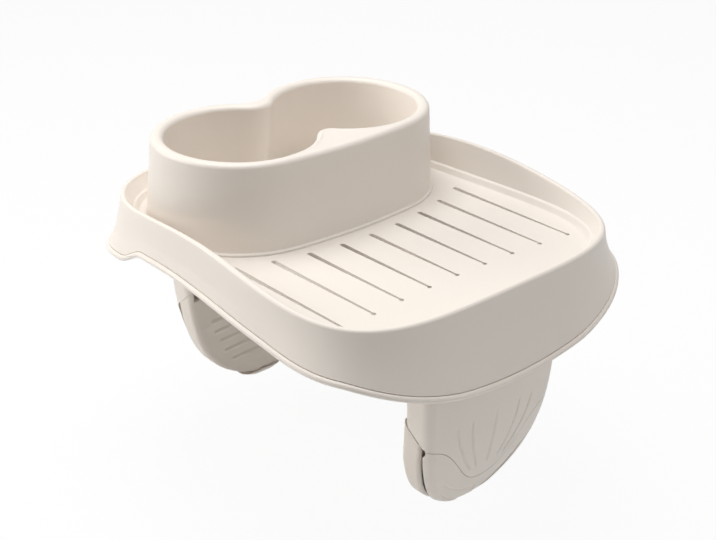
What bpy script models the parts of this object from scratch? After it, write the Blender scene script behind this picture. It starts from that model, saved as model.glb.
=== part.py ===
"""Hot tub tray: a drinks and snack tray that straddles the round wall of a hot tub.

X runs from the cup end (-X) to the open deck (+X), Y along the tub wall, Z up.
The origin is the middle of the flat saddle pad that rests on top of the wall.
"""
import math

import bmesh
import bpy
from mathutils import Vector

# Heights above the saddle pad
DECK_Z = 0.0160
DECK_THICKNESS = 0.0024
GAP = 0.0003
FACETS = 68
LOBE_FACETS = 22
FRONT_FACETS = 10
NECK_FACETS = 5
LEG_LEVELS = 10
FACE_FACETS = 6
CORNER_FACETS = 3
ROUND_FACETS = 12
SCREW_FACETS = 10

# Tray crest, seen from above
CREST_DECK_LENGTH = 0.1160
CREST_CUP_LENGTH = 0.1210
CREST_HALF_WIDTH = 0.1020
CREST_TAPER = 0.0070
DECK_SQUARENESS = 4.0
CUP_SQUARENESS = 3.8

# Crest and lip, as heights from the deck
CREST_PEAK = 0.0206
CREST_PEAK_X = -0.0060
CREST_DECK_END = 0.0090
CREST_CUP_END = 0.0110
LIP_PEAK = -0.0035
LIP_PEAK_X = -0.0200
LIP_DECK_CORNER = -0.0210
LIP_CUP_CORNER = -0.0190
LIP_DECK_DROOP = 0.0168
LIP_CUP_DROOP = 0.0090
DROOP_START = 0.62
LIP_CURVE = 1.7
SKIRT_THICKNESS = 0.0024
FLARE_SIDE = 0.0065
FLARE_END = 0.0115
BEAD = 0.0016
CREST_THICKNESS = 0.0048
DECK_INSET = 0.0076
LEDGE_HEIGHT = 0.0034
LEDGE_WIDTH = 0.0028

# Drain slots
SLOT_COUNT = 9
SLOT_PITCH = 0.0202
SLOT_START = 0.0134
SLOT_START_SWEEP = 0.0155
SLOT_END = 0.0785
SLOT_END_SWEEP = 0.0050
SLOT_WIDE = 0.0030
SLOT_NARROW = 0.0014
SLOT_DOT = 0.0026

# Cup holder
WELL_X = -0.0535
WELL_Y = 0.0358
WELL_RADIUS = 0.0424
WELL_DRAFT = 0.0014
WALL_BAND = 0.0062
CUP_HEIGHT = 0.0495
CUP_BULGE = 0.0010
CUP_DRAFT = 0.0044
CUP_FRONT_DRAFT = 0.0012
CUP_LEAN = 0.0025
CUP_SHELL = 0.0024
CUP_FLOOR = 0.0022
CUP_FOOT = 0.0006
WAIST_FILLET = 0.0080
NECK_FILLET = 0.0070
DRAIN_RADIUS = 0.0040
RIM_ROUND = 0.0028

# Saddle under the deck
RIB_COUNT = 5
RIB_PITCH = 0.0280
RIB_THICKNESS = 0.0022
RIB_HALF_LENGTH = 0.0560
RIB_SAG = 0.0070
PAD_HALF_LENGTH = 0.0160
PAD_THICKNESS = 0.0024

# Legs
LEG_OUT = 0.1050
LEG_DEPTH = 0.0220
LEG_HALF_WIDTH = 0.0495
LEG_TOP_SPREAD = 0.0015
LEG_LEAN = 0.0120
LEG_TIP = 0.1283
TIP_ROUND = 0.0090
LEG_CORNER = 0.0065
LEG_BULGE = 0.0035
LEG_WALL = 0.0026
HEAD_TOP = 0.0223
HEAD_THICKNESS = 0.0034
HEAD_IN = 0.0600
HEAD_HALF_WIDTH = 0.0460
SEAM_INNER = 0.0600
SEAM_OUTER = 0.0870
TONGUE_TIP = 0.1050
TONGUE_HALF_WIDTH = 0.0225
WINDOW_FRAME = 0.0085
FAN_GROOVES = 4
FAN_TOP = 0.0770
FAN_BOTTOM = 0.0990
FAN_SPREAD = 0.0320
FAN_ROOT = 0.0090
FAN_WIDTH = 0.0012
FAN_DEPTH = 0.0007

# Boots and grip plates
PLATE_DEPTH = 0.0090
PLATE_SLOT = 0.0022
PLATE_TIP = LEG_TIP - 0.0048
PLATE_EDGE = 0.0030
PLATE_DISH = 0.0022
PLATE_WALL = 0.0024
GRIP_RIBS = 5
GRIP_PITCH = 0.0062
GRIP_TOP = 0.0760
GRIP_HALF_WIDTH = 0.0260
GRIP_HEIGHT = 0.0011
RUNNER_HALF_WIDTH = 0.0190
RUNNER_THICKNESS = 0.0050
RUNNER_TOP = 0.0440
BOOT_TRAVEL = 0.0240
PEG_RADIUS = 0.0026
PEG_SPREAD = 0.0110
PEG_DROP = 0.0900

# Fasteners
SCREW_SHANK = 0.0016
SCREW_HEAD = 0.0034
SCREW_HEAD_HEIGHT = 0.0022
SCREW_BITE = 0.0100
SCREW_CLEARANCE = 0.0003
BOSS_RADIUS = 0.0042
LEG_SCREW_X = (0.0690, 0.0910)
LEG_SCREW_Y = 0.0360
CUP_SCREW_X = -0.0100
CUP_SCREW_Y = 0.0100
TAB_WIDTH = 0.0140
TAB_THICKNESS = 0.0022
TAB_HOOK = 0.0018

CREAM = (0.80, 0.74, 0.65)
CREAM_SHADE = (0.76, 0.70, 0.62)
STEEL = (0.62, 0.62, 0.63)


def clear_scene():
    for thing in list(bpy.data.objects):
        bpy.data.objects.remove(thing, do_unlink=True)


def make_material(name, colour, roughness, metallic=0.0):
    material = bpy.data.materials.new(name)
    material.use_nodes = True
    shader = material.node_tree.nodes["Principled BSDF"]
    shader.inputs["Base Color"].default_value = (*colour, 1.0)
    shader.inputs["Roughness"].default_value = roughness
    shader.inputs["Metallic"].default_value = metallic
    material.diffuse_color = (*colour, 1.0)
    return material


def smooth_step(share):
    share = max(0.0, min(1.0, share))
    return share * share * (3.0 - 2.0 * share)


def add_object(name, points, faces):
    mesh = bpy.data.meshes.new(name)
    mesh.from_pydata(points, [], faces)
    form = bmesh.new()
    form.from_mesh(mesh)
    bmesh.ops.recalc_face_normals(form, faces=form.faces)
    form.to_mesh(mesh)
    form.free()
    thing = bpy.data.objects.new(name, mesh)
    bpy.context.scene.collection.objects.link(thing)
    return thing


def loft(name, rings):
    """A closed skin through rings of equal count, with a flat cap at each end."""
    count = len(rings[0])
    points = [point for ring in rings for point in ring]
    faces = [tuple(range(count))]
    for level in range(len(rings) - 1):
        low = level * count
        for step in range(count):
            after = (step + 1) % count
            faces.append((low + step, low + count + step, low + count + after, low + after))
    last = (len(rings) - 1) * count
    faces.append(tuple(last + step for step in range(count)))
    return add_object(name, points, faces)


def prism(name, outline, axis, low, high):
    """An outline pushed along one axis. Its points are (x, y), (x, z) or (y, z)."""
    place = {
        "Z": lambda a, b, along: (a, b, along),
        "Y": lambda a, b, along: (a, along, b),
        "X": lambda a, b, along: (along, a, b),
    }[axis]
    return loft(name, [[place(a, b, along) for a, b in outline] for along in (low, high)])


def block(name, low, high):
    outline = [(low[0], low[1]), (high[0], low[1]), (high[0], high[1]), (low[0], high[1])]
    return prism(name, outline, "Z", low[2], high[2])


def circle(x, y, radius, sides=ROUND_FACETS):
    turns = [2.0 * math.pi * step / sides for step in range(sides)]
    return [(x + radius * math.cos(turn), y + radius * math.sin(turn)) for turn in turns]


def rod(name, x, y, radius, low, high):
    return prism(name, circle(x, y, radius), "Z", low, high)


def arc(x, y, radius, start, end, steps):
    """Points along an arc, without its last one."""
    turns = [start + (end - start) * step / steps for step in range(steps)]
    return [(x + radius * math.cos(turn), y + radius * math.sin(turn)) for turn in turns]


def join(body, tool, operation):
    """Join, cut or intersect with a tool, which is used up."""
    modifier = body.modifiers.new(operation.lower(), "BOOLEAN")
    modifier.operation = operation
    modifier.solver = "EXACT"
    modifier.object = tool
    graph = bpy.context.evaluated_depsgraph_get()
    graph.update()
    result = bpy.data.meshes.new_from_object(body.evaluated_get(graph))
    body.modifiers.clear()
    body.data = result
    bpy.data.objects.remove(tool, do_unlink=True)
    return body


def fuse(body, tool):
    return join(body, tool, "UNION")


def carve(body, tool):
    return join(body, tool, "DIFFERENCE")


def finish(thing, name, material, sharp_degrees=32.0):
    thing.name = name
    thing.data.name = name
    thing.data.materials.clear()
    thing.data.materials.append(material)
    thing.data.shade_smooth()
    thing.data.set_sharp_from_angle(angle=math.radians(sharp_degrees))
    return thing


def crest_plan():
    """Points and outward normals of the crest, a rounded square drawn in by the cup end."""
    points = []
    for step in range(FACETS):
        turn = 2.0 * math.pi * step / FACETS
        across, along = abs(math.sin(turn)), abs(math.cos(turn))
        deck_side = math.cos(turn) >= 0.0
        length = CREST_DECK_LENGTH if deck_side else CREST_CUP_LENGTH
        power = DECK_SQUARENESS if deck_side else CUP_SQUARENESS
        reach = ((along / length) ** power + (across / CREST_HALF_WIDTH) ** power) ** (-1.0 / power)
        x = reach * math.cos(turn)
        widen = 1.0 + CREST_TAPER * x / (CREST_DECK_LENGTH * CREST_HALF_WIDTH)
        points.append((x, reach * math.sin(turn) * widen))
    plan = []
    for step, (x, y) in enumerate(points):
        before, after = points[step - 1], points[(step + 1) % FACETS]
        tangent = Vector((after[0] - before[0], after[1] - before[1])).normalized()
        plan.append((x, y, tangent.y, -tangent.x))
    return plan


def crest_height(x):
    if x > CREST_PEAK_X:
        share = (x - CREST_PEAK_X) / (CREST_DECK_LENGTH - CREST_PEAK_X)
        end = CREST_DECK_END
    else:
        share = (CREST_PEAK_X - x) / (CREST_CUP_LENGTH + CREST_PEAK_X)
        end = CREST_CUP_END
    rise = 0.5 * (1.0 + math.cos(math.pi * min(1.0, share)))
    return DECK_Z + end + (CREST_PEAK - end) * rise


def lip_height(x, y):
    if x > LIP_PEAK_X:
        share = (x - LIP_PEAK_X) / (CREST_DECK_LENGTH - LIP_PEAK_X)
        corner, droop, length = LIP_DECK_CORNER, LIP_DECK_DROOP, CREST_DECK_LENGTH
    else:
        share = (LIP_PEAK_X - x) / (CREST_CUP_LENGTH + LIP_PEAK_X)
        corner, droop, length = LIP_CUP_CORNER, LIP_CUP_DROOP, CREST_CUP_LENGTH
    side = LIP_PEAK + (corner - LIP_PEAK) * share ** LIP_CURVE
    near_end = smooth_step((abs(x) / length - DROOP_START) / (1.0 - DROOP_START))
    middle = max(0.0, 1.0 - (y / (CREST_HALF_WIDTH * 0.9)) ** 2)
    return DECK_Z + side - droop * near_end * middle


def skirt_flare(x):
    length = CREST_DECK_LENGTH if x > 0.0 else CREST_CUP_LENGTH
    return FLARE_SIDE + (FLARE_END - FLARE_SIDE) * smooth_step((abs(x) / length - 0.45) / 0.4)


def tray_profile(x, y):
    """The wall's section at one place on the crest, as (outward, height), deck top to underside."""
    crest, lip, flare = crest_height(x), lip_height(x, y), skirt_flare(x)
    drop = crest - lip
    outer = CREST_THICKNESS * 0.38
    inner = outer - CREST_THICKNESS

    def skirt(share, lean):
        return outer + (flare - outer) * lean, crest - drop * share

    upper, crease, lower = skirt(0.33, 0.20), skirt(0.62, 0.45), skirt(0.86, 0.82)
    ledge = -DECK_INSET + LEDGE_WIDTH
    return [
        (-DECK_INSET, DECK_Z),
        (-DECK_INSET + LEDGE_WIDTH * 0.6, DECK_Z + LEDGE_HEIGHT * 0.85),
        (ledge, DECK_Z + LEDGE_HEIGHT),
        (inner, crest - CREST_THICKNESS * 0.46),
        (inner + CREST_THICKNESS * 0.20, crest - CREST_THICKNESS * 0.12),
        ((inner + outer) / 2.0, crest),
        (outer - CREST_THICKNESS * 0.20, crest - CREST_THICKNESS * 0.12),
        (outer, crest - CREST_THICKNESS * 0.50),
        upper,
        crease,
        lower,
        (flare, lip + BEAD * 1.7),
        (flare + BEAD * 0.70, lip + BEAD * 1.15),
        (flare + BEAD * 0.70, lip + BEAD * 0.40),
        (flare + BEAD * 0.10, lip),
        (flare - SKIRT_THICKNESS * 0.8, lip),
        (flare - SKIRT_THICKNESS, lip + BEAD * 0.8),
        (lower[0] - SKIRT_THICKNESS, lower[1]),
        (crease[0] - SKIRT_THICKNESS, crease[1]),
        (outer - SKIRT_THICKNESS * 0.45, crest - CREST_THICKNESS * 1.6),
        (inner + SKIRT_THICKNESS * 0.65, crest - CREST_THICKNESS * 1.6),
        (inner + SKIRT_THICKNESS * 0.20, DECK_Z + LEDGE_HEIGHT * 0.2),
        (ledge - SKIRT_THICKNESS * 0.2, DECK_Z - DECK_THICKNESS),
    ]


def slot_outline(row):
    """A drain slot: wide and round by the cups, thin towards the end, with a round eye."""
    sweep = (row / ((SLOT_COUNT - 1) / 2.0)) ** 2
    start = SLOT_START - SLOT_START_SWEEP * sweep
    end = SLOT_END + SLOT_END_SWEEP * sweep
    y = row * SLOT_PITCH
    wide, eye = SLOT_WIDE / 2.0, SLOT_DOT / 2.0
    neck = math.asin(SLOT_NARROW / SLOT_DOT)
    head = arc(start + wide, y, wide, 0.5 * math.pi, 1.5 * math.pi, 4)
    head.append((start + wide, y - wide))
    return head + arc(end, y, eye, math.pi + neck, 3.0 * math.pi - neck, 7) \
        + [(end - eye * math.cos(neck), y + SLOT_NARROW / 2.0)]


def leg_screw_places(side):
    return [(side * x, y) for x in LEG_SCREW_X for y in (-LEG_SCREW_Y, LEG_SCREW_Y)]


def cup_screw_places():
    return [(CUP_SCREW_X, -CUP_SCREW_Y), (CUP_SCREW_X, CUP_SCREW_Y)]


def tab_places():
    reach = WELL_RADIUS + WALL_BAND - CUP_SHELL - TAB_THICKNESS
    return [(WELL_X - reach, -WELL_Y), (WELL_X - reach, WELL_Y)]


def rib_bottom(x):
    """Height of the saddle ribs' curved lower edge, which follows the tub wall."""
    beyond = max(0.0, abs(x) - PAD_HALF_LENGTH) / (RIB_HALF_LENGTH - PAD_HALF_LENGTH)
    return PAD_THICKNESS - RIB_SAG * beyond ** 2


def add_saddle(tray):
    under = DECK_Z - DECK_THICKNESS * 0.5
    steps = 12
    stops = [RIB_HALF_LENGTH * (2.0 * step / steps - 1.0) for step in range(steps + 1)]
    outline = [(x, rib_bottom(x)) for x in stops]
    outline += [(RIB_HALF_LENGTH, under), (-RIB_HALF_LENGTH, under)]
    half = (RIB_COUNT - 1) / 2.0
    for number in range(RIB_COUNT):
        y = (number - half) * RIB_PITCH
        fuse(tray, prism("rib", outline, "Y", y - RIB_THICKNESS / 2.0, y + RIB_THICKNESS / 2.0))
    reach = half * RIB_PITCH + RIB_THICKNESS * 2.0
    fuse(tray, block("pad", (-PAD_HALF_LENGTH, -reach, 0.0), (PAD_HALF_LENGTH, reach, PAD_THICKNESS * 1.5)))


def make_tray(material):
    plan = crest_plan()
    sections = [tray_profile(x, y) for x, y, _, _ in plan]
    rings = []
    for level in range(len(sections[0])):
        ring = []
        for (x, y, out_x, out_y), section in zip(plan, sections):
            outward, height = section[level]
            ring.append((x + out_x * outward, y + out_y * outward, height))
        rings.append(ring)
    tray = loft("tray", rings)
    add_saddle(tray)
    under = DECK_Z - DECK_THICKNESS * 0.5
    seat = DECK_Z - HEAD_TOP
    for side in (-1.0, 1.0):
        for x, y in leg_screw_places(side):
            fuse(tray, rod("boss", x, y, BOSS_RADIUS, seat, under))
            carve(tray, rod("pilot", x, y, SCREW_SHANK + SCREW_CLEARANCE, seat - GAP, seat + SCREW_BITE))
    for x, y in cup_screw_places():
        carve(tray, rod("hole", x, y, SCREW_SHANK + SCREW_CLEARANCE, 0.0, DECK_Z + DECK_THICKNESS))
        carve(tray, rod("reach", x, y, SCREW_HEAD + SCREW_CLEARANCE, -GAP, PAD_THICKNESS * 2.0))
    for y in (-WELL_Y, WELL_Y):
        carve(tray, rod("drain", WELL_X, y, DRAIN_RADIUS, 0.0, DECK_Z + DECK_THICKNESS))
    for x, y in tab_places():
        reach = TAB_HOOK + TAB_THICKNESS + 2.0 * GAP
        low = (x - reach, y - TAB_WIDTH / 2.0 - GAP, DECK_Z - DECK_THICKNESS * 2.0)
        high = (x + 2.0 * GAP, y + TAB_WIDTH / 2.0 + GAP, DECK_Z + DECK_THICKNESS)
        carve(tray, block("tab hole", low, high))
    half = (SLOT_COUNT - 1) // 2
    for row in range(-half, half + 1):
        outline = slot_outline(row)
        carve(tray, prism("slot", outline, "Z", DECK_Z - DECK_THICKNESS * 1.5, DECK_Z + DECK_THICKNESS))
    return finish(tray, "tray_shell", material)


def fillet_centre(radius, fillet):
    reach = math.sqrt((radius + fillet) ** 2 - WELL_Y ** 2)
    return reach, math.atan2(WELL_Y, reach)


def cup_outline(grow, height, low=0.0):
    """The ring's outer outline: two lobes, one long front arc and a rounded neck at the back.

    Low is 0 at the rim and 1 at the foot, where the lobes stand further towards the deck.
    """
    radius = WELL_RADIUS + WALL_BAND + grow
    middle = WELL_X + CUP_LEAN * low
    span = radius + CUP_BULGE + CUP_FRONT_DRAFT * low
    sweep = (span ** 2 + WELL_Y ** 2 - radius ** 2) / (2.0 * (span - radius))
    centre = middle + span - sweep
    lean = math.atan2(WELL_Y, middle - centre)
    neck = NECK_FILLET - grow
    reach, turn = fillet_centre(radius, neck)
    outline = arc(centre, 0.0, sweep, -lean, lean, FRONT_FACETS)
    outline += arc(middle, WELL_Y, radius, lean, math.pi + turn, LOBE_FACETS)
    outline += arc(middle - reach, 0.0, neck, turn, -turn, NECK_FACETS)
    outline += arc(middle, -WELL_Y, radius, math.pi - turn, 2.0 * math.pi - lean, LOBE_FACETS)
    return [(x, y, height) for x, y in outline]


def well_outline(grow, height):
    """The twin wells' outline: two circles that meet in a rounded waist."""
    radius = WELL_RADIUS + grow
    fillet = WAIST_FILLET - grow
    reach, turn = fillet_centre(radius, fillet)
    outline = arc(WELL_X + reach, 0.0, fillet, math.pi + turn, math.pi - turn, FRONT_FACETS)
    outline += arc(WELL_X, WELL_Y, radius, -turn, math.pi + turn, LOBE_FACETS)
    outline += arc(WELL_X - reach, 0.0, fillet, turn, -turn, NECK_FACETS)
    outline += arc(WELL_X, -WELL_Y, radius, math.pi - turn, 2.0 * math.pi + turn, LOBE_FACETS)
    return [(x, y, height) for x, y in outline]


def make_cup_holder(material):
    foot = DECK_Z + GAP
    floor = foot + CUP_FLOOR
    rim = DECK_Z + CUP_HEIGHT
    hollow = rim - RIM_ROUND * 2.6
    rings = [
        well_outline(-WELL_DRAFT - 0.0030, floor),
        well_outline(-WELL_DRAFT, floor + 0.0026),
        well_outline(0.0, rim - RIM_ROUND),
        well_outline(RIM_ROUND * 0.30, rim - RIM_ROUND * 0.30),
        well_outline(RIM_ROUND, rim),
        cup_outline(-RIM_ROUND, rim),
        cup_outline(-RIM_ROUND * 0.30, rim - RIM_ROUND * 0.30),
        cup_outline(0.0, rim - RIM_ROUND),
        cup_outline(CUP_DRAFT, foot + CUP_FLOOR, 1.0),
        cup_outline(CUP_DRAFT + CUP_FOOT, foot + CUP_FLOOR * 0.7, 1.0),
        cup_outline(CUP_DRAFT + CUP_FOOT, foot, 1.0),
        cup_outline(CUP_DRAFT - CUP_SHELL, foot, 1.0),
        cup_outline(-CUP_SHELL * 0.85, hollow),
        well_outline(CUP_SHELL, hollow),
        well_outline(CUP_SHELL - WELL_DRAFT, foot),
    ]
    cups = loft("cups", rings)
    for x, y in cup_screw_places():
        fuse(cups, rod("boss", x, y, BOSS_RADIUS, foot, hollow + CUP_SHELL * 0.5))
        carve(cups, rod("pilot", x, y, SCREW_SHANK + SCREW_CLEARANCE, foot - GAP, foot + SCREW_BITE))
    for y in (-WELL_Y, WELL_Y):
        carve(cups, rod("drain", WELL_X, y, DRAIN_RADIUS, foot - GAP, floor + CUP_FLOOR))
    half = TAB_WIDTH / 2.0
    under = DECK_Z - DECK_THICKNESS - GAP
    for x, y in tab_places():
        root_low = (x - TAB_THICKNESS, y - half, foot + CUP_FLOOR * 0.5)
        fuse(cups, block("root", root_low, (x + TAB_THICKNESS, y + half, foot + CUP_FLOOR * 4.0)))
        top = (x, y + half, foot + CUP_FLOOR)
        fuse(cups, block("tab", (x - TAB_THICKNESS, y - half, under - TAB_THICKNESS), top))
        hook_top = (x, y + half, under)
        fuse(cups, block("hook", (x - TAB_THICKNESS - TAB_HOOK, y - half, under - TAB_THICKNESS), hook_top))
    return finish(cups, "cup_holder", material)


def leg_shape(depth):
    """Outer face, inner face and half width of a leg at a depth below the deck."""
    share = max(0.0, (depth - SEAM_INNER) / (LEG_TIP - SEAM_INNER))
    lean = LEG_LEAN * share ** 1.6
    top = max(0.0, (SEAM_INNER - depth) / SEAM_INNER)
    width = LEG_HALF_WIDTH * math.sqrt(1.0 - share ** 2.6) + LEG_TOP_SPREAD * top
    into_tip = max(0.0, 1.0 - (LEG_TIP - depth) / TIP_ROUND)
    draw_in = TIP_ROUND * 0.75 * (1.0 - math.sqrt(1.0 - into_tip ** 2))
    outer = LEG_OUT - lean - draw_in
    inner = LEG_OUT - LEG_DEPTH - LEG_LEAN * 0.35 * smooth_step(share * 1.4) + draw_in
    return outer, inner, width


def leg_section(outer, inner, width, bulge, dish, corner):
    """One level of a leg, seen from above: two rounded long faces and two narrow sides."""
    corner = min(corner, (outer - inner) * 0.42, width * 0.6)
    flat = width - corner
    outline = []
    half = FACE_FACETS // 2
    for step in range(-half, half):
        y = flat * step / half
        outline.append((outer + bulge * (1.0 - (y / width) ** 2), y))
    edge = outer + bulge * (1.0 - (flat / width) ** 2)
    outline += arc(edge - corner, flat, corner, 0.0, 0.5 * math.pi, CORNER_FACETS)
    outline += arc(inner + corner, flat, corner, 0.5 * math.pi, math.pi, CORNER_FACETS)
    for step in range(-half, half):
        y = -flat * step / half
        outline.append((inner + dish * (1.0 - (y / flat) ** 2), y))
    outline += arc(inner + corner, -flat, corner, math.pi, 1.5 * math.pi, CORNER_FACETS)
    outline += arc(edge - corner, -flat, corner, 1.5 * math.pi, 2.0 * math.pi, CORNER_FACETS)
    return outline


def leg_depths(top, bottom):
    """Depths of a leg's levels, closer together towards the tip."""
    turns = [0.5 * math.pi * step / LEG_LEVELS for step in range(LEG_LEVELS + 1)]
    return [top + (bottom - top) * math.sin(turn) for turn in turns]


def leg_loft(name, top, bottom, inset=0.0):
    """A leg's outer form between two depths, or that form drawn in by an inset."""
    rings = []
    for depth in leg_depths(top, bottom):
        outer, inner, width = leg_shape(depth)
        section = leg_section(outer - inset, inner + inset, width - inset, LEG_BULGE, 0.0,
                              LEG_CORNER - inset)
        rings.append([(x, y, DECK_Z - depth) for x, y in section])
    return loft(name, rings)


def seam_depth(y):
    """Depth of the seam on the outer face: level shoulders and a rounded tongue in the middle."""
    bell = math.exp(-((abs(y) / TONGUE_HALF_WIDTH) ** 3.2))
    return SEAM_OUTER + (TONGUE_TIP - SEAM_OUTER) * bell


def wall_face(depth):
    """Inner surface of a stem's outer wall."""
    return leg_shape(depth)[0] - LEG_WALL


def below_seam_side():
    """What lies below the sloping seam on a leg's narrow sides, seen along Y."""
    inner = leg_shape(SEAM_INNER)[1]
    deep = LEG_TIP * 1.1
    corner = wall_face(SEAM_OUTER) - GAP
    tongue = wall_face(TONGUE_TIP + LEG_WALL) - GAP
    return [(HEAD_IN, -deep), (tongue, -deep), (tongue, -TONGUE_TIP - LEG_WALL),
            (corner, -SEAM_OUTER), (inner, -SEAM_INNER), (HEAD_IN, -SEAM_INNER)]


def above_seam_side():
    """What lies above that seam, one gap lower, for the pieces that stand below it."""
    inner = leg_shape(SEAM_INNER)[1]
    corner = wall_face(SEAM_OUTER) - GAP
    top = HEAD_TOP
    beyond = corner + 2.0 * GAP
    return [(HEAD_IN, -SEAM_INNER - GAP), (inner, -SEAM_INNER - GAP), (corner, -SEAM_OUTER - GAP),
            (beyond, -SEAM_OUTER - GAP), (beyond, -top), (HEAD_IN, -top)]


def lower_outline(outline):
    return [(a, DECK_Z + b) for a, b in outline]


def seam_outline(half_width, shift, close_depth):
    steps = 24
    line = [half_width * (2.0 * step / steps - 1.0) for step in range(steps + 1)]
    outline = [(y, DECK_Z - seam_depth(y) - shift) for y in line]
    return outline + [(half_width, DECK_Z - close_depth), (-half_width, DECK_Z - close_depth)]


def face_x(y, depth):
    outer, _, width = leg_shape(depth)
    return outer + LEG_BULGE * (1.0 - (y / width) ** 2)


def fan_groove(number):
    """A shallow groove that follows the outer face towards the tongue's tip."""
    share = number / (FAN_GROOVES - 1.0) * 2.0 - 1.0
    bend = abs(share) ** 0.9 * (1.0 if share > 0.0 else -1.0)
    rings = []
    steps = 4
    for step in range(steps + 1):
        along = step / steps
        y = bend * (FAN_SPREAD + (FAN_ROOT - FAN_SPREAD) * along ** 0.8)
        depth = FAN_TOP + (FAN_BOTTOM - FAN_TOP) * along
        x = face_x(y, depth)
        half = FAN_WIDTH / 2.0
        z = DECK_Z - depth
        rings.append([(x - FAN_DEPTH, y - half * 0.5, z), (x + LEG_WALL, y - half * 2.0, z),
                      (x + LEG_WALL, y + half * 2.0, z), (x - FAN_DEPTH, y + half * 0.5, z)])
    return loft("fan groove", rings)


def runner_face():
    """Outer face of the runner that slides inside the stem."""
    return wall_face(TONGUE_TIP + LEG_WALL) - GAP


def make_stem(material):
    top = HEAD_TOP + GAP
    deep = LEG_TIP * 1.1
    stem = leg_loft("stem", top, TONGUE_TIP + LEG_WALL)
    carve(stem, leg_loft("hollow", top + HEAD_THICKNESS, TONGUE_TIP + LEG_WALL * 2.0, LEG_WALL))
    inner = leg_shape(SEAM_INNER)[1]
    half = LEG_HALF_WIDTH - WINDOW_FRAME
    window_top = DECK_Z - top - HEAD_THICKNESS - LEG_WALL
    carve(stem, block("window", (HEAD_IN, -half, DECK_Z - deep), (inner + LEG_WALL * 1.5, half, window_top)))
    carve(stem, prism("side cut", lower_outline(below_seam_side()), "Y", -LEG_OUT, LEG_OUT))
    carve(stem, prism("seam cut", seam_outline(LEG_OUT, 0.0, deep), "X", HEAD_IN, LEG_OUT * 1.3))
    for number in range(FAN_GROOVES):
        carve(stem, fan_groove(number))
    head_top = DECK_Z - top
    head_low = head_top - HEAD_THICKNESS
    edge = LEG_OUT - LEG_WALL
    fuse(stem, block("head", (HEAD_IN, -HEAD_HALF_WIDTH, head_low), (edge, HEAD_HALF_WIDTH, head_top)))
    guide_y = RUNNER_HALF_WIDTH + GAP
    front = runner_face() - RUNNER_THICKNESS + GAP
    stop_depth = RUNNER_TOP + RUNNER_THICKNESS + BOOT_TRAVEL + GAP
    for side in (-1.0, 1.0):
        low_y, high_y = sorted((side * guide_y, side * (guide_y + LEG_WALL)))
        guide_low = (front, low_y, DECK_Z - stop_depth - RUNNER_THICKNESS)
        fuse(stem, block("guide", guide_low, (LEG_OUT, high_y, head_top - GAP)))
        low_y, high_y = sorted((side * guide_y, side * (guide_y + LEG_WALL * 1.5)))
        stop_low = (front - RUNNER_THICKNESS * 0.5, low_y, DECK_Z - stop_depth - RUNNER_THICKNESS)
        fuse(stem, block("stop", stop_low, (front + LEG_WALL, high_y, DECK_Z - stop_depth)))
        gusset = [(HEAD_IN + LEG_WALL, head_low + GAP), (inner + GAP, head_low + GAP),
                  (inner + GAP, head_low - LEG_DEPTH), (inner - GAP, head_low - LEG_DEPTH)]
        y = side * (half + LEG_WALL)
        fuse(stem, prism("gusset", gusset, "Y", y - LEG_WALL / 2.0, y + LEG_WALL / 2.0))
    for x, y in leg_screw_places(1.0):
        carve(stem, rod("hole", x, y, SCREW_SHANK + SCREW_CLEARANCE, head_low - GAP, head_top + GAP))
    return finish(stem, "leg_stem", material)


def make_boot(material):
    bottom = LEG_TIP - LEG_WALL * 0.3
    boot = leg_loft("boot", SEAM_INNER, bottom)
    carve(boot, leg_loft("hollow", SEAM_INNER - LEG_WALL, LEG_TIP - LEG_WALL * 2.4, LEG_WALL))
    carve(boot, prism("side cut", lower_outline(above_seam_side()), "Y", -LEG_OUT, LEG_OUT))
    corner = wall_face(SEAM_OUTER)
    outline = seam_outline(LEG_OUT, GAP, HEAD_TOP)
    carve(boot, prism("seam cut", outline, "X", corner, LEG_OUT * 1.3))
    outline = seam_outline(TONGUE_HALF_WIDTH * 1.6, GAP, HEAD_TOP)
    carve(boot, prism("tongue cut", outline, "X", runner_face(), LEG_OUT * 1.3))
    steps = 10
    edge = []
    for step in range(steps + 1):
        depth = HEAD_TOP + (PLATE_TIP + GAP - HEAD_TOP) * step / steps
        edge.append((leg_shape(depth)[1] + PLATE_DEPTH + PLATE_SLOT, DECK_Z - depth))
    edge += [(HEAD_IN, DECK_Z - PLATE_TIP - GAP), (HEAD_IN, DECK_Z - HEAD_TOP)]
    carve(boot, prism("plate cut", edge, "Y", -LEG_OUT, LEG_OUT))
    back, front = runner_face(), runner_face() - RUNNER_THICKNESS
    half = RUNNER_HALF_WIDTH
    runner = leg_loft("runner", RUNNER_TOP, LEG_TIP - LEG_WALL * 1.2, LEG_WALL * 0.5)
    join(runner, block("bar", (front, -half, DECK_Z - LEG_TIP), (back, half, DECK_Z)), "INTERSECT")
    fuse(boot, runner)
    catch_half = half + LEG_WALL
    catch_low = (front - RUNNER_THICKNESS * 0.5, -catch_half, DECK_Z - RUNNER_TOP - RUNNER_THICKNESS)
    fuse(boot, block("catch", catch_low, (front + GAP * 0.5, catch_half, DECK_Z - RUNNER_TOP)))
    for y in (-PEG_SPREAD, PEG_SPREAD):
        outline = circle(y, DECK_Z - PEG_DROP, PEG_RADIUS + GAP)
        carve(boot, prism("socket", outline, "X", front - LEG_WALL, back + LEG_WALL))
    return finish(boot, "boot_shell", material)


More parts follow.
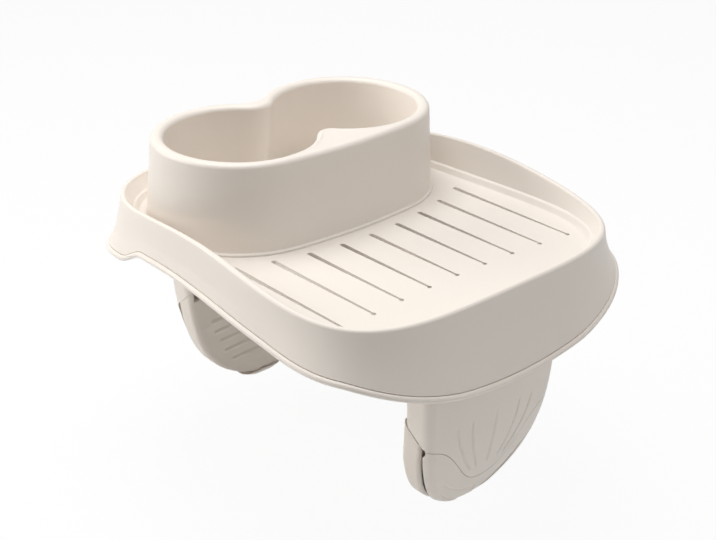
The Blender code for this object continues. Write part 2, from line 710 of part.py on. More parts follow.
def plate_loft(name, top, bottom, inset):
    """The grip plate's form: a shallow dished shell whose flanks turn towards the boot."""
    rings = []
    for depth in leg_depths(top, bottom):
        _, inner, _ = leg_shape(depth)
        share = max(0.0, (depth - SEAM_INNER) / (PLATE_TIP - SEAM_INNER))
        width = LEG_HALF_WIDTH - PLATE_EDGE * smooth_step(share * 2.0)
        width *= math.sqrt(1.0 - min(share, 0.995) ** 2.6)
        depth_x = PLATE_DEPTH + (LEG_WALL if inset > 0.0 else 0.0)
        section = leg_section(inner + depth_x, inner + inset, width - inset, 0.0, PLATE_DISH,
                              LEG_CORNER * 0.6)
        rings.append([(x, y, DECK_Z - depth) for x, y in section])
    return loft(name, rings)


def make_grip_plate(material):
    plate = plate_loft("plate", SEAM_INNER, PLATE_TIP - PLATE_WALL * 0.2, 0.0)
    carve(plate, plate_loft("hollow", SEAM_INNER - PLATE_WALL, PLATE_TIP - PLATE_WALL * 2.0, PLATE_WALL))
    carve(plate, prism("side cut", lower_outline(above_seam_side()), "Y", -LEG_OUT, LEG_OUT))
    for number in range(GRIP_RIBS):
        depth = GRIP_TOP + number * GRIP_PITCH
        _, inner, width = leg_shape(depth)
        half = min(GRIP_HALF_WIDTH, width * 0.6)
        steps = 4
        line = [half * (2.0 * step / steps - 1.0) for step in range(steps + 1)]
        face = [(inner + PLATE_DISH * (1.0 - (y / width) ** 2), y) for y in line]
        outline = [(x - GRIP_HEIGHT, y) for x, y in face]
        outline += [(x + PLATE_WALL * 0.5, y) for x, y in reversed(face)]
        z = DECK_Z - depth
        fuse(plate, prism("grip rib", outline, "Z", z - GRIP_HEIGHT, z + GRIP_HEIGHT))
    inner = leg_shape(PEG_DROP)[1]
    for y in (-PEG_SPREAD, PEG_SPREAD):
        outline = circle(y, DECK_Z - PEG_DROP, PEG_RADIUS)
        fuse(plate, prism("peg", outline, "X", inner + PLATE_DISH + PLATE_WALL * 0.3, runner_face() - GAP))
    return finish(plate, "grip_plate", material)


def make_screw(name, length, material):
    """A pan head screw that points up, with the underside of its head at its origin."""
    profile = [(SCREW_HEAD * 0.6, -SCREW_HEAD_HEIGHT), (SCREW_HEAD, -SCREW_HEAD_HEIGHT * 0.4),
               (SCREW_HEAD, 0.0), (SCREW_SHANK, 0.0), (SCREW_SHANK, length - SCREW_SHANK),
               (SCREW_SHANK * 0.3, length)]
    rings = []
    for radius, height in profile:
        rings.append([(x, y, height) for x, y in circle(0.0, 0.0, radius, SCREW_FACETS)])
    return finish(loft(name, rings), name, material)


def place_screws(name, places, seat, length, material):
    """Identical screws, each its own piece, standing in their holes."""
    for number, (x, y) in enumerate(places):
        screw = make_screw(name, length, material) if number == 0 else add_copy(screw)
        screw.name = name + "_" + str(number + 1)
        screw.location = (x, y, seat)


def place_end(thing, name, side, axis=None):
    """Set a leg piece at the deck end (side 1), or turned half round at the cup end (side -1)."""
    thing.name = name
    turn = 0.0 if side > 0.0 else math.pi
    if axis is None:
        thing.rotation_euler = (0.0, 0.0, turn)
        return
    thing.parent = axis
    thing.location = (-abs(axis.location.x), 0.0, -axis.location.z)


def add_copy(thing):
    copy = bpy.data.objects.new(thing.name, thing.data)
    bpy.context.scene.collection.objects.link(copy)
    return copy


def make_legs(shell, shade, steel):
    stem, boot, plate = make_stem(shell), make_boot(shell), make_grip_plate(shade)
    head_low = DECK_Z - HEAD_TOP - GAP - HEAD_THICKNESS
    length = GAP * 2.0 + HEAD_THICKNESS + SCREW_BITE - SCREW_SHANK
    ends = ((1.0, "deck_end"), (-1.0, "cup_end"))
    for side, end in ends:
        axis = bpy.data.objects.new("boot_axis_" + end, None)
        axis.location = (side * runner_face(), 0.0, DECK_Z - SEAM_OUTER)
        axis.rotation_euler = (0.0, 0.0, 0.0 if side > 0.0 else math.pi)
        bpy.context.scene.collection.objects.link(axis)
        first = side > 0.0
        place_end(stem if first else add_copy(stem), "leg_stem_" + end, side)
        place_screws("leg_screw_" + end, leg_screw_places(side), head_low - GAP, length, steel)
        place_end(boot if first else add_copy(boot), "boot_shell_" + end, side, axis)
        place_end(plate if first else add_copy(plate), "grip_plate_" + end, side, axis)


def main():
    clear_scene()
    shell = make_material("cream plastic", CREAM, 0.42)
    shade = make_material("cream grip plastic", CREAM_SHADE, 0.50)
    steel = make_material("screw steel", STEEL, 0.35, 1.0)
    make_tray(shell)
    make_cup_holder(shell)
    make_legs(shell, shade, steel)
    seat = DECK_Z - DECK_THICKNESS - GAP
    length = DECK_THICKNESS + GAP * 2.0 + SCREW_BITE - SCREW_SHANK
    place_screws("cup_holder_screw", cup_screw_places(), seat, length, steel)


main()
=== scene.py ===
"""Dresses a hot tub tray: moulded cream plastic, a twin-well cup holder and sliding clamp legs."""
import math

import bmesh
import bpy
from bpy.props import BoolProperty, FloatProperty, FloatVectorProperty, IntProperty, PointerProperty
from mathutils import Matrix, Vector


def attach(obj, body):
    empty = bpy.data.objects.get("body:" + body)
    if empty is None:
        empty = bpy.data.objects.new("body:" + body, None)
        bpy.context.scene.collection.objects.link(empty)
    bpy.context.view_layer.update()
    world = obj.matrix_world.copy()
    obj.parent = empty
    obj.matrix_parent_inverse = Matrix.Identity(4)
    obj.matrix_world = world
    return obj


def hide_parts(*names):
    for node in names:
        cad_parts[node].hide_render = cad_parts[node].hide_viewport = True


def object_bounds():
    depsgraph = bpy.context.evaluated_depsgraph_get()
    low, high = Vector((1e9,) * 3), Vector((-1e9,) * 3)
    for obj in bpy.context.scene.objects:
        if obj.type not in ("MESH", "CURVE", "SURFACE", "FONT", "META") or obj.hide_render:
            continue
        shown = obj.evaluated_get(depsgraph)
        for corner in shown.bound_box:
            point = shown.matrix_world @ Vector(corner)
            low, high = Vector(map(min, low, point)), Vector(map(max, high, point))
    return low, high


bl_info = {
    "name": "Hot Tub Tray",
    "version": (1, 0, 0),
    "blender": (4, 5, 0),
    "location": "3D View > Sidebar > Hot Tub Tray",
    "description": "Builds the tray, its cup holder, its sliding legs and a plain studio",
    "category": "Object",
}

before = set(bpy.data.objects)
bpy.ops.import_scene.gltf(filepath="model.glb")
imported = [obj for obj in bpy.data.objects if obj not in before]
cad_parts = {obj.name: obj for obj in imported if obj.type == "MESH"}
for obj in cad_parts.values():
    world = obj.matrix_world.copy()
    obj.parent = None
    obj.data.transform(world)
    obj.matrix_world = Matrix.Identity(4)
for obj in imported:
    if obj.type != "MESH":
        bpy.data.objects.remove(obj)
CAD_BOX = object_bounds()

# Lengths are in metres, and shares and powers are plain numbers.

# Tray plan and heights
DECK_Z = 0.0160
DECK_THICKNESS = 0.0024
DECK_MIDDLE = DECK_Z - DECK_THICKNESS * 0.5
GAP = 0.0003
CREST_DECK_LENGTH = 0.1160
CREST_CUP_LENGTH = 0.1210
CREST_HALF_WIDTH = 0.1020
CREST_TAPER = 0.0070
DECK_SQUARENESS = 4.0
CUP_SQUARENESS = 3.8
CREST_PEAK = 0.0206
CREST_PEAK_X = -0.0060
CREST_DECK_END = 0.0090
CREST_CUP_END = 0.0110
LIP_PEAK = -0.0035
LIP_PEAK_X = -0.0200
LIP_DECK_CORNER = -0.0210
LIP_CUP_CORNER = -0.0190
LIP_DECK_DROOP = 0.0168
LIP_CUP_DROOP = 0.0090
DROOP_START = 0.62
DROOP_WIDTH = 0.9
CURL_DROP = 0.0078
CURL_START_X = -0.0500
CURL_START_Y = 0.0600
CURL_REACH = 0.0250
LIP_CURVE = 1.7
SKIRT_THICKNESS = 0.0024
FLARE_SIDE = 0.0065
FLARE_END = 0.0115
FLARE_START = 0.45
FLARE_REACH = 0.40
CREASE_DROP = 0.62
CREASE_LEAN = 0.45
CREASE_CURVE = 1.25
SKIRT_CURVE = 1.7
CREASE_START_Y = 0.0600
CREASE_STOP_X = 0.0300
CREASE_REACH = 0.0300
RIDGE_START_X = 0.0900
RIDGE_REACH = 0.0200
BEAD = 0.0019
CREST_THICKNESS = 0.0038
CREST_THICKNESS_CUP = 0.0028
CREST_THINNING_X = -0.0300
CREST_THINNING_REACH = 0.0700
CREST_OUTER_SHARE = 0.48
CREST_FLATNESS = 0.96
DECK_INSET = 0.0076
LEDGE_HEIGHT = 0.0034
LEDGE_WIDTH = 0.0028
LEDGE_SHAPE = ((0.45, 0.72), (0.60, 0.90), (0.78, 0.98))

# Drain slots
SLOT_COUNT = 9
SLOT_PITCH = 0.0202
SLOT_START = 0.0134
SLOT_START_SWEEP = 0.0155
SLOT_END = 0.0785
SLOT_END_SWEEP = 0.0050
SLOT_WIDE = 0.0030
SLOT_NARROW = 0.0014
SLOT_EYE = 0.0026

# Cup holder
WELL_X = -0.0535
WELL_Y = 0.0358
WELL_RADIUS = 0.0424
WELL_DRAFT = 0.0014
WALL_BAND = 0.0062
CUP_HEIGHT = 0.0495
CUP_BULGE = 0.0010
CUP_DRAFT = 0.0044
CUP_FRONT_DRAFT = 0.0012
CUP_LEAN = 0.0025
CUP_SHELL = 0.0024
CUP_FLOOR = 0.0022
CUP_FOOT = 0.0015
FOOT_SHAPE = ((0.15, 0.62), (0.45, 0.46), (0.90, 0.34), (1.0, 0.22))
WAIST_FILLET = 0.0080
NOSE_SHARE = 0.30
NECK_FILLET = 0.0070
RIM_FORWARD = 0.0042
RIM_SPREAD = 0.0020
RIM_DRAW_IN = 0.0013
RIM_BAND = 0.0070
RIM_BULGE = 0.0026
RIM_WAIST = 0.0085
RIM_BACK = 0.0133
RIM_NECK = 0.0166
DRAIN_RADIUS = 0.0040
RIM_ROUND = 0.0028
HOLLOW_DROP = RIM_ROUND * 2.6
LAND_SHARES = (0.0, 0.02, 0.06, 0.12, 0.2, 0.3, 0.4, 0.5, 0.6, 0.7, 0.8, 0.88, 0.94, 0.98, 1.0)
WELL_FILLET = 0.0030
LAND_START = 0.0060
LAND_REACH = 0.0100

# Saddle under the deck
RIB_COUNT = 5
RIB_PITCH = 0.0280
RIB_THICKNESS = 0.0022
RIB_HALF_LENGTH = 0.0560
RIB_SAG = 0.0070
PAD_HALF_LENGTH = 0.0160
PAD_THICKNESS = 0.0024

# Legs
LEG_OUT = 0.1090
LEG_DEPTH = 0.0190
LEG_THINNING = 0.0059
THINNING_TOP = 0.0860
LEG_HALF_WIDTH = 0.0485
LEG_TAPER = 4.2
LEG_LEAN = 0.0170
LEAN_TOP = 0.0400
LEAN_CURVE = 2.6
LEG_TIP = 0.1283
TIP_ROUND = 0.0060
TIP_DRAW_IN = 0.75
LEG_CORNER = 0.0060
CORNER_OF_DEPTH = 0.42
CORNER_OF_WIDTH = 0.60
LEG_BULGE = 0.0030
LEG_WALL = 0.0026
HEAD_TOP = 0.0223
HEAD_THICKNESS = 0.0034
HEAD_IN = 0.0600
HEAD_HALF_WIDTH = 0.0460
SEAM_INNER = 0.0610
SEAM_OUTER = 0.0738
TONGUE_TIP = 0.1085
TONGUE_HALF_WIDTH = 0.0268
TONGUE_CURVE = 2.6
SEAM_STEP = 0.0010
WINDOW_FRAME = 0.0040
EDGE_HALF_WIDTH = 0.0425
EDGE_TIP = 0.1170
EDGE_TOP = 0.0960
EDGE_FADE = 0.0100
FAN_GROOVES = 5
FAN_TOP = 0.0660
FAN_BOTTOM = 0.0990
FAN_SPREAD = 0.0275
FAN_ROOT = 0.0125
FAN_BEND = 0.65
FAN_CURVE = 1.6
FAN_FADE = 0.05
PLATE_DEPTH = 0.0132
PLATE_SLOT = 0.0016
PLATE_HOLE = 0.0015
PLATE_HOLE_DEPTH = 0.0780
PLATE_RISE = 0.0034
PLATE_TIP = LEG_TIP - PLATE_RISE
PLATE_EDGE = 0.0008
PLATE_TAPER = 6.0
PLATE_TOP = 0.0670
PLATE_ROUND = 0.0020
PLATE_DISH = 0.0016
PLATE_WALL = 0.0024
NOTCH_BOTTOM = 0.0820
GRIP_RIBS = 5
GRIP_PITCH = 0.0070
GRIP_TOP = 0.0842
GRIP_MARGIN = 0.0100
GRIP_HEIGHT = 0.0011
RUNNER_HALF_WIDTH = 0.0190
RUNNER_THICKNESS = 0.0050
RUNNER_TOP = 0.0440
RUNNER_RISE = 0.0100
RUNNER_BOTTOM = LEG_TIP - RUNNER_RISE
BOOT_TRAVEL = 0.0240
PEG_RADIUS = 0.0026
PEG_SPREAD = 0.0110
PEG_DROP = 0.0910
PLAIN_STEPS = 28
TIP_CROWDING = 0.55
TOOL_DEPTH = LEG_TIP * 1.1
TOOL_OUT = LEG_OUT * 1.3
TOOL_HALF_WIDTH = LEG_HALF_WIDTH * 1.2

# Fasteners
SCREW_SHANK = 0.0016
SCREW_HEAD = 0.0034
SCREW_HEAD_HEIGHT = 0.0022
SCREW_HEAD_SHAPE = ((0.30, 1.0), (0.62, 0.94), (0.86, 0.72), (1.0, 0.36))
SCREW_BITE = 0.0100
SCREW_CLEARANCE = 0.0003
SCREW_HOLE = SCREW_SHANK + SCREW_CLEARANCE
BOSS_RADIUS = 0.0042
LEG_SCREW_X = (0.0690, 0.0910)
LEG_SCREW_Y = 0.0360
CUP_SCREW_X = -0.0100
CUP_SCREW_Y = 0.0100
TAB_WIDTH = 0.0140
TAB_THICKNESS = 0.0022
TAB_HOOK = 0.0018
THREAD_PITCH = 0.0010
THREAD_DEPTH = 0.00025

# Finish and studio
GRIP_DULLING = 0.07
CAMERA_SHIFT = (-0.0060, 0.0128)
FLOOR_HALF = 3.0
WHITE = (1.0, 1.0, 1.0)
WARM = (1.0, 0.985, 0.945)

ENDS = ("deck_end", "cup_end")
BOOTS = ("boot_deck_end", "boot_cup_end")


def whole(name, description, default, low, high):
    return IntProperty(name=name, description=description, default=default, min=low, max=high)


def metres(name, description, default, low, high, precision=4):
    return FloatProperty(name=name, description=description, default=default, min=low, max=high,
                         unit="LENGTH", precision=precision)


def factor(name, description, default):
    return FloatProperty(name=name, description=description, default=default, min=0.0, max=1.0,
                         subtype="FACTOR")


def tint(name, description, default):
    return FloatVectorProperty(name=name, description=description, default=default, min=0.0, max=1.0,
                               size=3, subtype="COLOR")


def angle(name, description, degrees):
    return FloatProperty(name=name, description=description, default=math.radians(degrees), subtype="ANGLE")


def above_zero(name, description, default):
    return FloatProperty(name=name, description=description, default=default, min=0.0)


class TraySettings(bpy.types.PropertyGroup):
    facets: whole("Facets round the rim", "Points round the tray's crest", 288, 48, 720)
    crease_kink: factor("Side crease", "Strength of the break in the long sides' slope", 1.0)
    ridge_place: metres("Corner ridge place", "Where the flat ends meet the corners", 0.0450, 0.0, 0.09)
    ridge_height: metres("Corner ridge height", "How far those ridges stand out", 0.0005, 0.0, 0.003)
    ridge_width: metres("Corner ridge width", "Half the width of those ridges", 0.0160, 0.001, 0.05)


class CupHolderSettings(bpy.types.PropertyGroup):
    lobe_facets: whole("Facets per lobe", "Points round each well", 84, 12, 240)
    rim_steps: whole("Rim rounding steps", "Rings in each rounded edge of the rim", 6, 2, 16)
    land_drop: metres("Land drop", "How far the land lies below the rim's bead", 0.0003, 0.0, 0.003)
    land_bead: metres("Land bead", "Width of the bead left round the land", 0.0030, 0.001, 0.008)


class LegSettings(bpy.types.PropertyGroup):
    face_facets: whole("Facets across a leg", "Points across each broad face", 132, 12, 300)
    levels: whole("Levels down a leg", "Rings down each leg piece", 96, 12, 240)
    groove_depth: metres("Groove depth", "Depth of the grooves that fan to the tongue", 0.0007, 0.0, 0.002)
    groove_width: metres("Groove width", "Half width of those grooves", 0.0008, 0.0002, 0.004)
    edge_width: metres("Edge crease width", "Width of the crease inside a boot's edge", 0.0008, 0.0002, 0.004)
    edge_depth: metres("Edge crease depth", "How far the edge band lies back", 0.0008, 0.0, 0.002)
    seam_round: metres("Seam rounding", "Rounding along the cut edges", 0.0003, 0.0, 0.002)


class FinishSettings(bpy.types.PropertyGroup):
    shell_colour: tint("Shell colour", "Moulded cream plastic", (0.822, 0.764, 0.704))
    grip_colour: tint("Grip colour", "Plastic of the grip plates", (0.792, 0.729, 0.664))
    steel_colour: tint("Screw colour", "Stainless steel of the screws", (0.60, 0.60, 0.61))
    roughness: factor("Roughness", "Satin of the moulded surface", 0.42)
    grain_size: metres("Grain size", "Size of the mould's fine grain", 0.0007, 0.0001, 0.01)
    grain_height: metres("Grain height", "Depth of that grain", 0.000010, 0.0, 0.0005, 6)


class StudioSettings(bpy.types.PropertyGroup):
    camera_place: FloatVectorProperty(name="Camera place", description="Where the camera stands", size=3,
                                      default=(0.4977, -0.4567, 0.3235), unit="LENGTH", precision=4)
    heading: angle("Heading", "Turn of the view round the object", 47.0)
    pitch: angle("Pitch", "How far the camera looks down", 26.7)
    roll: angle("Roll", "Tilt of the camera about its own axis", 0.94)
    lens: FloatProperty(name="Lens", description="Focal length in millimetres on a 36 mm sensor",
                        default=68.4, min=10.0, max=300.0)
    key_power: above_zero("Key light", "Power of the large light above", 9.4)
    side_power: above_zero("Side light", "Power of the light at the left", 6.2)
    fill_power: above_zero("Fill light", "Power of the light at the right", 1.2)
    ambient: above_zero("Ambient", "Strength of the even light from all round", 0.27)
    soft_floor: BoolProperty(name="Faint shadow", description="Keep the shadow on the white floor faint",
                             default=True)


def smooth_step(share):
    share = max(0.0, min(1.0, share))
    return share * share * (3.0 - 2.0 * share)


def add_object(name, data):
    made = bpy.data.objects.new(name, data)
    bpy.context.scene.collection.objects.link(made)
    return made


def even(start, stop, steps):
    """Evenly spaced values from a start to a stop, both among them."""
    return [start + (stop - start) * step / steps for step in range(steps + 1)]


def new_object(name, points, faces):
    mesh = bpy.data.meshes.new(name)
    mesh.from_pydata(points, [], faces)
    form = bmesh.new()
    form.from_mesh(mesh)
    bmesh.ops.recalc_face_normals(form, faces=form.faces)
    form.to_mesh(mesh)
    form.free()
    return add_object(name, mesh)


def loft(name, rings):
    """A closed skin through rings of equal count, with a flat cap at each end."""
    count = len(rings[0])
    points = [point for ring in rings for point in ring]
    faces = [tuple(range(count))]
    for level in range(len(rings) - 1):
        low = level * count
        for step in range(count):
            after = (step + 1) % count
            faces.append((low + step, low + count + step, low + count + after, low + after))
    last = (len(rings) - 1) * count
    faces.append(tuple(last + step for step in range(count)))
    return new_object(name, points, faces)


def prism(name, outline, axis, low, high):
    """An outline pushed along one axis. Its points are (x, y), (x, z) or (y, z)."""
    place = {
        "Z": lambda a, b, along: (a, b, along),
        "Y": lambda a, b, along: (a, along, b),
        "X": lambda a, b, along: (along, a, b),
    }[axis]
    return loft(name, [[place(a, b, along) for a, b in outline] for along in (low, high)])


def block(name, low, high):
    outline = [(low[0], low[1]), (high[0], low[1]), (high[0], high[1]), (low[0], high[1])]
    return prism(name, outline, "Z", low[2], high[2])


def circle(x, y, radius, sides=40):
    turns = [2.0 * math.pi * step / sides for step in range(sides)]
    return [(x + radius * math.cos(turn), y + radius * math.sin(turn)) for turn in turns]


def rod(name, x, y, radius, low, high):
    return prism(name, circle(x, y, radius), "Z", low, high)


def arc(x, y, radius, start, end, steps):
    """Points along an arc, without its last one."""
    turns = [start + (end - start) * step / steps for step in range(steps)]
    return [(x + radius * math.cos(turn), y + radius * math.sin(turn)) for turn in turns]


def arcs(*rows):
    """Several arcs as one line."""
    return [point for row in rows for point in arc(*row)]


def gather(name, pieces):
    """One object from several that don't touch."""
    form = bmesh.new()
    for piece in pieces:
        form.from_mesh(piece.data)
        bpy.data.objects.remove(piece, do_unlink=True)
    mesh = bpy.data.meshes.new(name)
    form.to_mesh(mesh)
    form.free()
    return add_object(name, mesh)


def apply_modifiers(piece):
    graph = bpy.context.evaluated_depsgraph_get()
    graph.update()
    result = bpy.data.meshes.new_from_object(piece.evaluated_get(graph))
    piece.modifiers.clear()
    piece.data = result


def join(body, tool, operation):
    """Join or cut with a tool, which is used up."""
    modifier = body.modifiers.new(operation.lower(), "BOOLEAN")
    modifier.operation = operation
    modifier.solver = "EXACT"
    modifier.object = tool
    apply_modifiers(body)
    bpy.data.objects.remove(tool, do_unlink=True)


def fuse(body, tool):
    join(body, tool, "UNION")


def carve(body, tool):
    join(body, tool, "DIFFERENCE")


def round_edges(piece, width, degrees=38.0, segments=2):
    """A small rounding along every edge sharper than an angle."""
    bevel = piece.modifiers.new("rounding", "BEVEL")
    bevel.width = width
    bevel.segments = segments
    bevel.limit_method = "ANGLE"
    bevel.angle_limit = math.radians(degrees)
    bevel.use_clamp_overlap = True
    bevel.miter_outer = "MITER_ARC"
    apply_modifiers(piece)


def shade(piece, material, degrees=30.0):
    mesh = piece.data
    mesh.materials.clear()
    mesh.materials.append(material)
    mesh.shade_smooth()
    mesh.set_sharp_from_angle(angle=math.radians(degrees))
    weight = piece.modifiers.new("even normals", "WEIGHTED_NORMAL")
    weight.keep_sharp = True
    weight.weight = 80


def stand_in(piece, node, body):
    piece.name = "dressed_" + node
    piece.data.name = piece.name
    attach(piece, body)
    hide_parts(node)


def turned_copy(piece, turn=math.pi):
    copy = add_object(piece.name, piece.data)
    for modifier in piece.modifiers:
        twin = copy.modifiers.new(modifier.name, modifier.type)
        twin.keep_sharp = modifier.keep_sharp
        twin.weight = modifier.weight
    copy.rotation_euler = (0.0, 0.0, turn)
    return copy


def add_node(tree, kind, place, inputs=None, **values):
    """A node with its properties and the values of its unlinked sockets set."""
    node = tree.nodes.new(kind)
    node.location = place
    for name, value in values.items():
        setattr(node, name, value)
    for name, value in (inputs or {}).items():
        node.inputs[name].default_value = value
    return node


def wire(tree, *rows):
    """Links, each given as a node, its output, the next node and that one's input."""
    for source, output, target, socket in rows:
        tree.links.new(source.outputs[output], target.inputs[socket])


def own_tree(owner):
    owner.use_nodes = True
    return owner.node_tree


def grain_group():
    """Fine mould grain and slow drifts of tone, as a colour, a roughness and a normal."""
    name = "Moulded Plastic Surface"
    if name in bpy.data.node_groups:
        return bpy.data.node_groups[name]
    group = bpy.data.node_groups.new(name, "ShaderNodeTree")
    sockets = {
        "INPUT": (("Colour", "Color"), ("Roughness", "Float"), ("Grain Scale", "Float"),
                  ("Grain Height", "Float")),
        "OUTPUT": (("Colour", "Color"), ("Roughness", "Float"), ("Normal", "Vector")),
    }
    for way, rows in sockets.items():
        for label, kind in rows:
            group.interface.new_socket(label, in_out=way, socket_type="NodeSocket" + kind)
    start = add_node(group, "NodeGroupInput", (-900, 0))
    end = add_node(group, "NodeGroupOutput", (500, 0))
    where = add_node(group, "ShaderNodeTexCoord", (-900, 300))
    drift = add_node(group, "ShaderNodeTexNoise", (-650, 350), {"Scale": 9.0, "Detail": 3.0})
    cloud = add_node(group, "ShaderNodeTexNoise", (-650, 100), {"Scale": 140.0, "Detail": 4.0})
    fine = add_node(group, "ShaderNodeTexNoise", (-650, -200), {"Detail": 2.0})
    tone = add_node(group, "ShaderNodeMapRange", (-420, 350), {"To Min": 0.975, "To Max": 1.02})
    value = add_node(group, "ShaderNodeHueSaturation", (-150, 300))
    sheen = add_node(group, "ShaderNodeMapRange", (-420, 60), {"To Min": -0.035, "To Max": 0.035})
    add = add_node(group, "ShaderNodeMath", (-150, 60), operation="ADD", use_clamp=True)
    bump = add_node(group, "ShaderNodeBump", (150, -250), {"Strength": 1.0})
    wire(
        group,
        (where, "Object", drift, "Vector"), (where, "Object", cloud, "Vector"),
        (where, "Object", fine, "Vector"), (start, "Grain Scale", fine, "Scale"),
        (drift, "Fac", tone, "Value"), (tone, "Result", value, "Value"),
        (start, "Colour", value, "Color"), (cloud, "Fac", sheen, "Value"),
        (start, "Roughness", add, 0), (sheen, "Result", add, 1),
        (fine, "Fac", bump, "Height"), (start, "Grain Height", bump, "Distance"),
        (value, "Color", end, "Colour"), (add, "Value", end, "Roughness"),
        (bump, "Normal", end, "Normal"),
    )
    return group


def plastic(name, colour, roughness):
    if name in bpy.data.materials:
        return bpy.data.materials[name]
    finish = bpy.context.scene.tray_finish
    material = bpy.data.materials.new(name)
    tree = own_tree(material)
    shader = tree.nodes["Principled BSDF"]
    shader.inputs["IOR"].default_value = 1.46
    values = {"Colour": (*colour, 1.0), "Roughness": roughness, "Grain Scale": 1.0 / finish.grain_size,
              "Grain Height": finish.grain_height}
    surface = add_node(tree, "ShaderNodeGroup", (-300, 200), values, node_tree=grain_group())
    wire(tree, (surface, "Colour", shader, "Base Color"), (surface, "Roughness", shader, "Roughness"),
         (surface, "Normal", shader, "Normal"))
    material.diffuse_color = (*colour, 1.0)
    return material


def shell_plastic():
    finish = bpy.context.scene.tray_finish
    return plastic("cream shell plastic", finish.shell_colour, finish.roughness)


def grip_plastic():
    finish = bpy.context.scene.tray_finish
    return plastic("cream grip plastic", finish.grip_colour, finish.roughness + GRIP_DULLING)


def screw_steel():
    """Stainless steel with rings left by turning."""
    name = "screw steel"
    if name in bpy.data.materials:
        return bpy.data.materials[name]
    bright = bpy.context.scene.tray_finish.steel_colour
    dark = [0.82 * part for part in bright]
    material = bpy.data.materials.new(name)
    tree = own_tree(material)
    shader = tree.nodes["Principled BSDF"]
    shader.inputs["Metallic"].default_value = 1.0
    where = add_node(tree, "ShaderNodeTexCoord", (-900, 100))
    rings = add_node(tree, "ShaderNodeTexNoise", (-650, 200), {"Scale": 1800.0})
    rough = add_node(tree, "ShaderNodeMapRange", (-400, 0), {"To Min": 0.26, "To Max": 0.44})
    tone = add_node(tree, "ShaderNodeMix", (-400, 300), {"A": (*dark, 1.0), "B": (*bright, 1.0)},
                    data_type="RGBA")
    wire(tree, (where, "Object", rings, "Vector"), (rings, "Fac", rough, "Value"),
         (rings, "Fac", tone, "Factor"), (tone, "Result", shader, "Base Color"),
         (rough, "Result", shader, "Roughness"))
    return material


def crest_plan(facets):
    """Points and outward normals of the crest, a rounded square drawn in by the cup end."""
    points = []
    for step in range(facets):
        turn = 2.0 * math.pi * step / facets
        across, along = abs(math.sin(turn)), abs(math.cos(turn))
        deck_side = math.cos(turn) >= 0.0
        length = CREST_DECK_LENGTH if deck_side else CREST_CUP_LENGTH
        power = DECK_SQUARENESS if deck_side else CUP_SQUARENESS
        reach = ((along / length) ** power + (across / CREST_HALF_WIDTH) ** power) ** (-1.0 / power)
        x = reach * math.cos(turn)
        widen = 1.0 + CREST_TAPER * x / (CREST_DECK_LENGTH * CREST_HALF_WIDTH)
        points.append((x, reach * math.sin(turn) * widen))
    plan = []
    for step, (x, y) in enumerate(points):
        before, after = points[step - 1], points[(step + 1) % facets]
        tangent = Vector((after[0] - before[0], after[1] - before[1])).normalized()
        plan.append((x, y, tangent.y, -tangent.x))
    return plan


def toward_end(x, peak):
    """Whether a place is on the deck's side of a peak, and its share of the way from there to the end."""
    if x > peak:
        return True, (x - peak) / (CREST_DECK_LENGTH - peak)
    return False, (peak - x) / (CREST_CUP_LENGTH + peak)


def crest_height(x):
    deck_side, share = toward_end(x, CREST_PEAK_X)
    end = CREST_DECK_END if deck_side else CREST_CUP_END
    rise = 0.5 * (1.0 + math.cos(math.pi * min(1.0, share)))
    return DECK_Z + end + (CREST_PEAK - end) * rise


def lip_height(x, y):
    deck_side, share = toward_end(x, LIP_PEAK_X)
    if deck_side:
        corner, droop, length = LIP_DECK_CORNER, LIP_DECK_DROOP, CREST_DECK_LENGTH
    else:
        corner, droop, length = LIP_CUP_CORNER, LIP_CUP_DROOP, CREST_CUP_LENGTH
    side = LIP_PEAK + (corner - LIP_PEAK) * share ** LIP_CURVE
    near_end = smooth_step((abs(x) / length - DROOP_START) / (1.0 - DROOP_START))
    middle = max(0.0, 1.0 - (y / (CREST_HALF_WIDTH * DROOP_WIDTH)) ** 2)
    curl = smooth_step((CURL_START_X - x) / CURL_REACH) * smooth_step((abs(y) - CURL_START_Y) / CURL_REACH)
    return DECK_Z + side - droop * near_end * middle - CURL_DROP * curl


def skirt_flare(x):
    length = CREST_DECK_LENGTH if x > 0.0 else CREST_CUP_LENGTH
    near_end = smooth_step((abs(x) / length - FLARE_START) / FLARE_REACH)
    return FLARE_SIDE + (FLARE_END - FLARE_SIDE) * near_end


def skirt_lean(share, kink):
    """Share of the flare reached at a share of the drop, smooth or broken at a crease."""
    if share < CREASE_DROP:
        broken = CREASE_LEAN * (share / CREASE_DROP) ** CREASE_CURVE
    else:
        broken = CREASE_LEAN + (1.0 - CREASE_LEAN) * (share - CREASE_DROP) / (1.0 - CREASE_DROP)
    return share ** SKIRT_CURVE * (1.0 - kink) + broken * kink


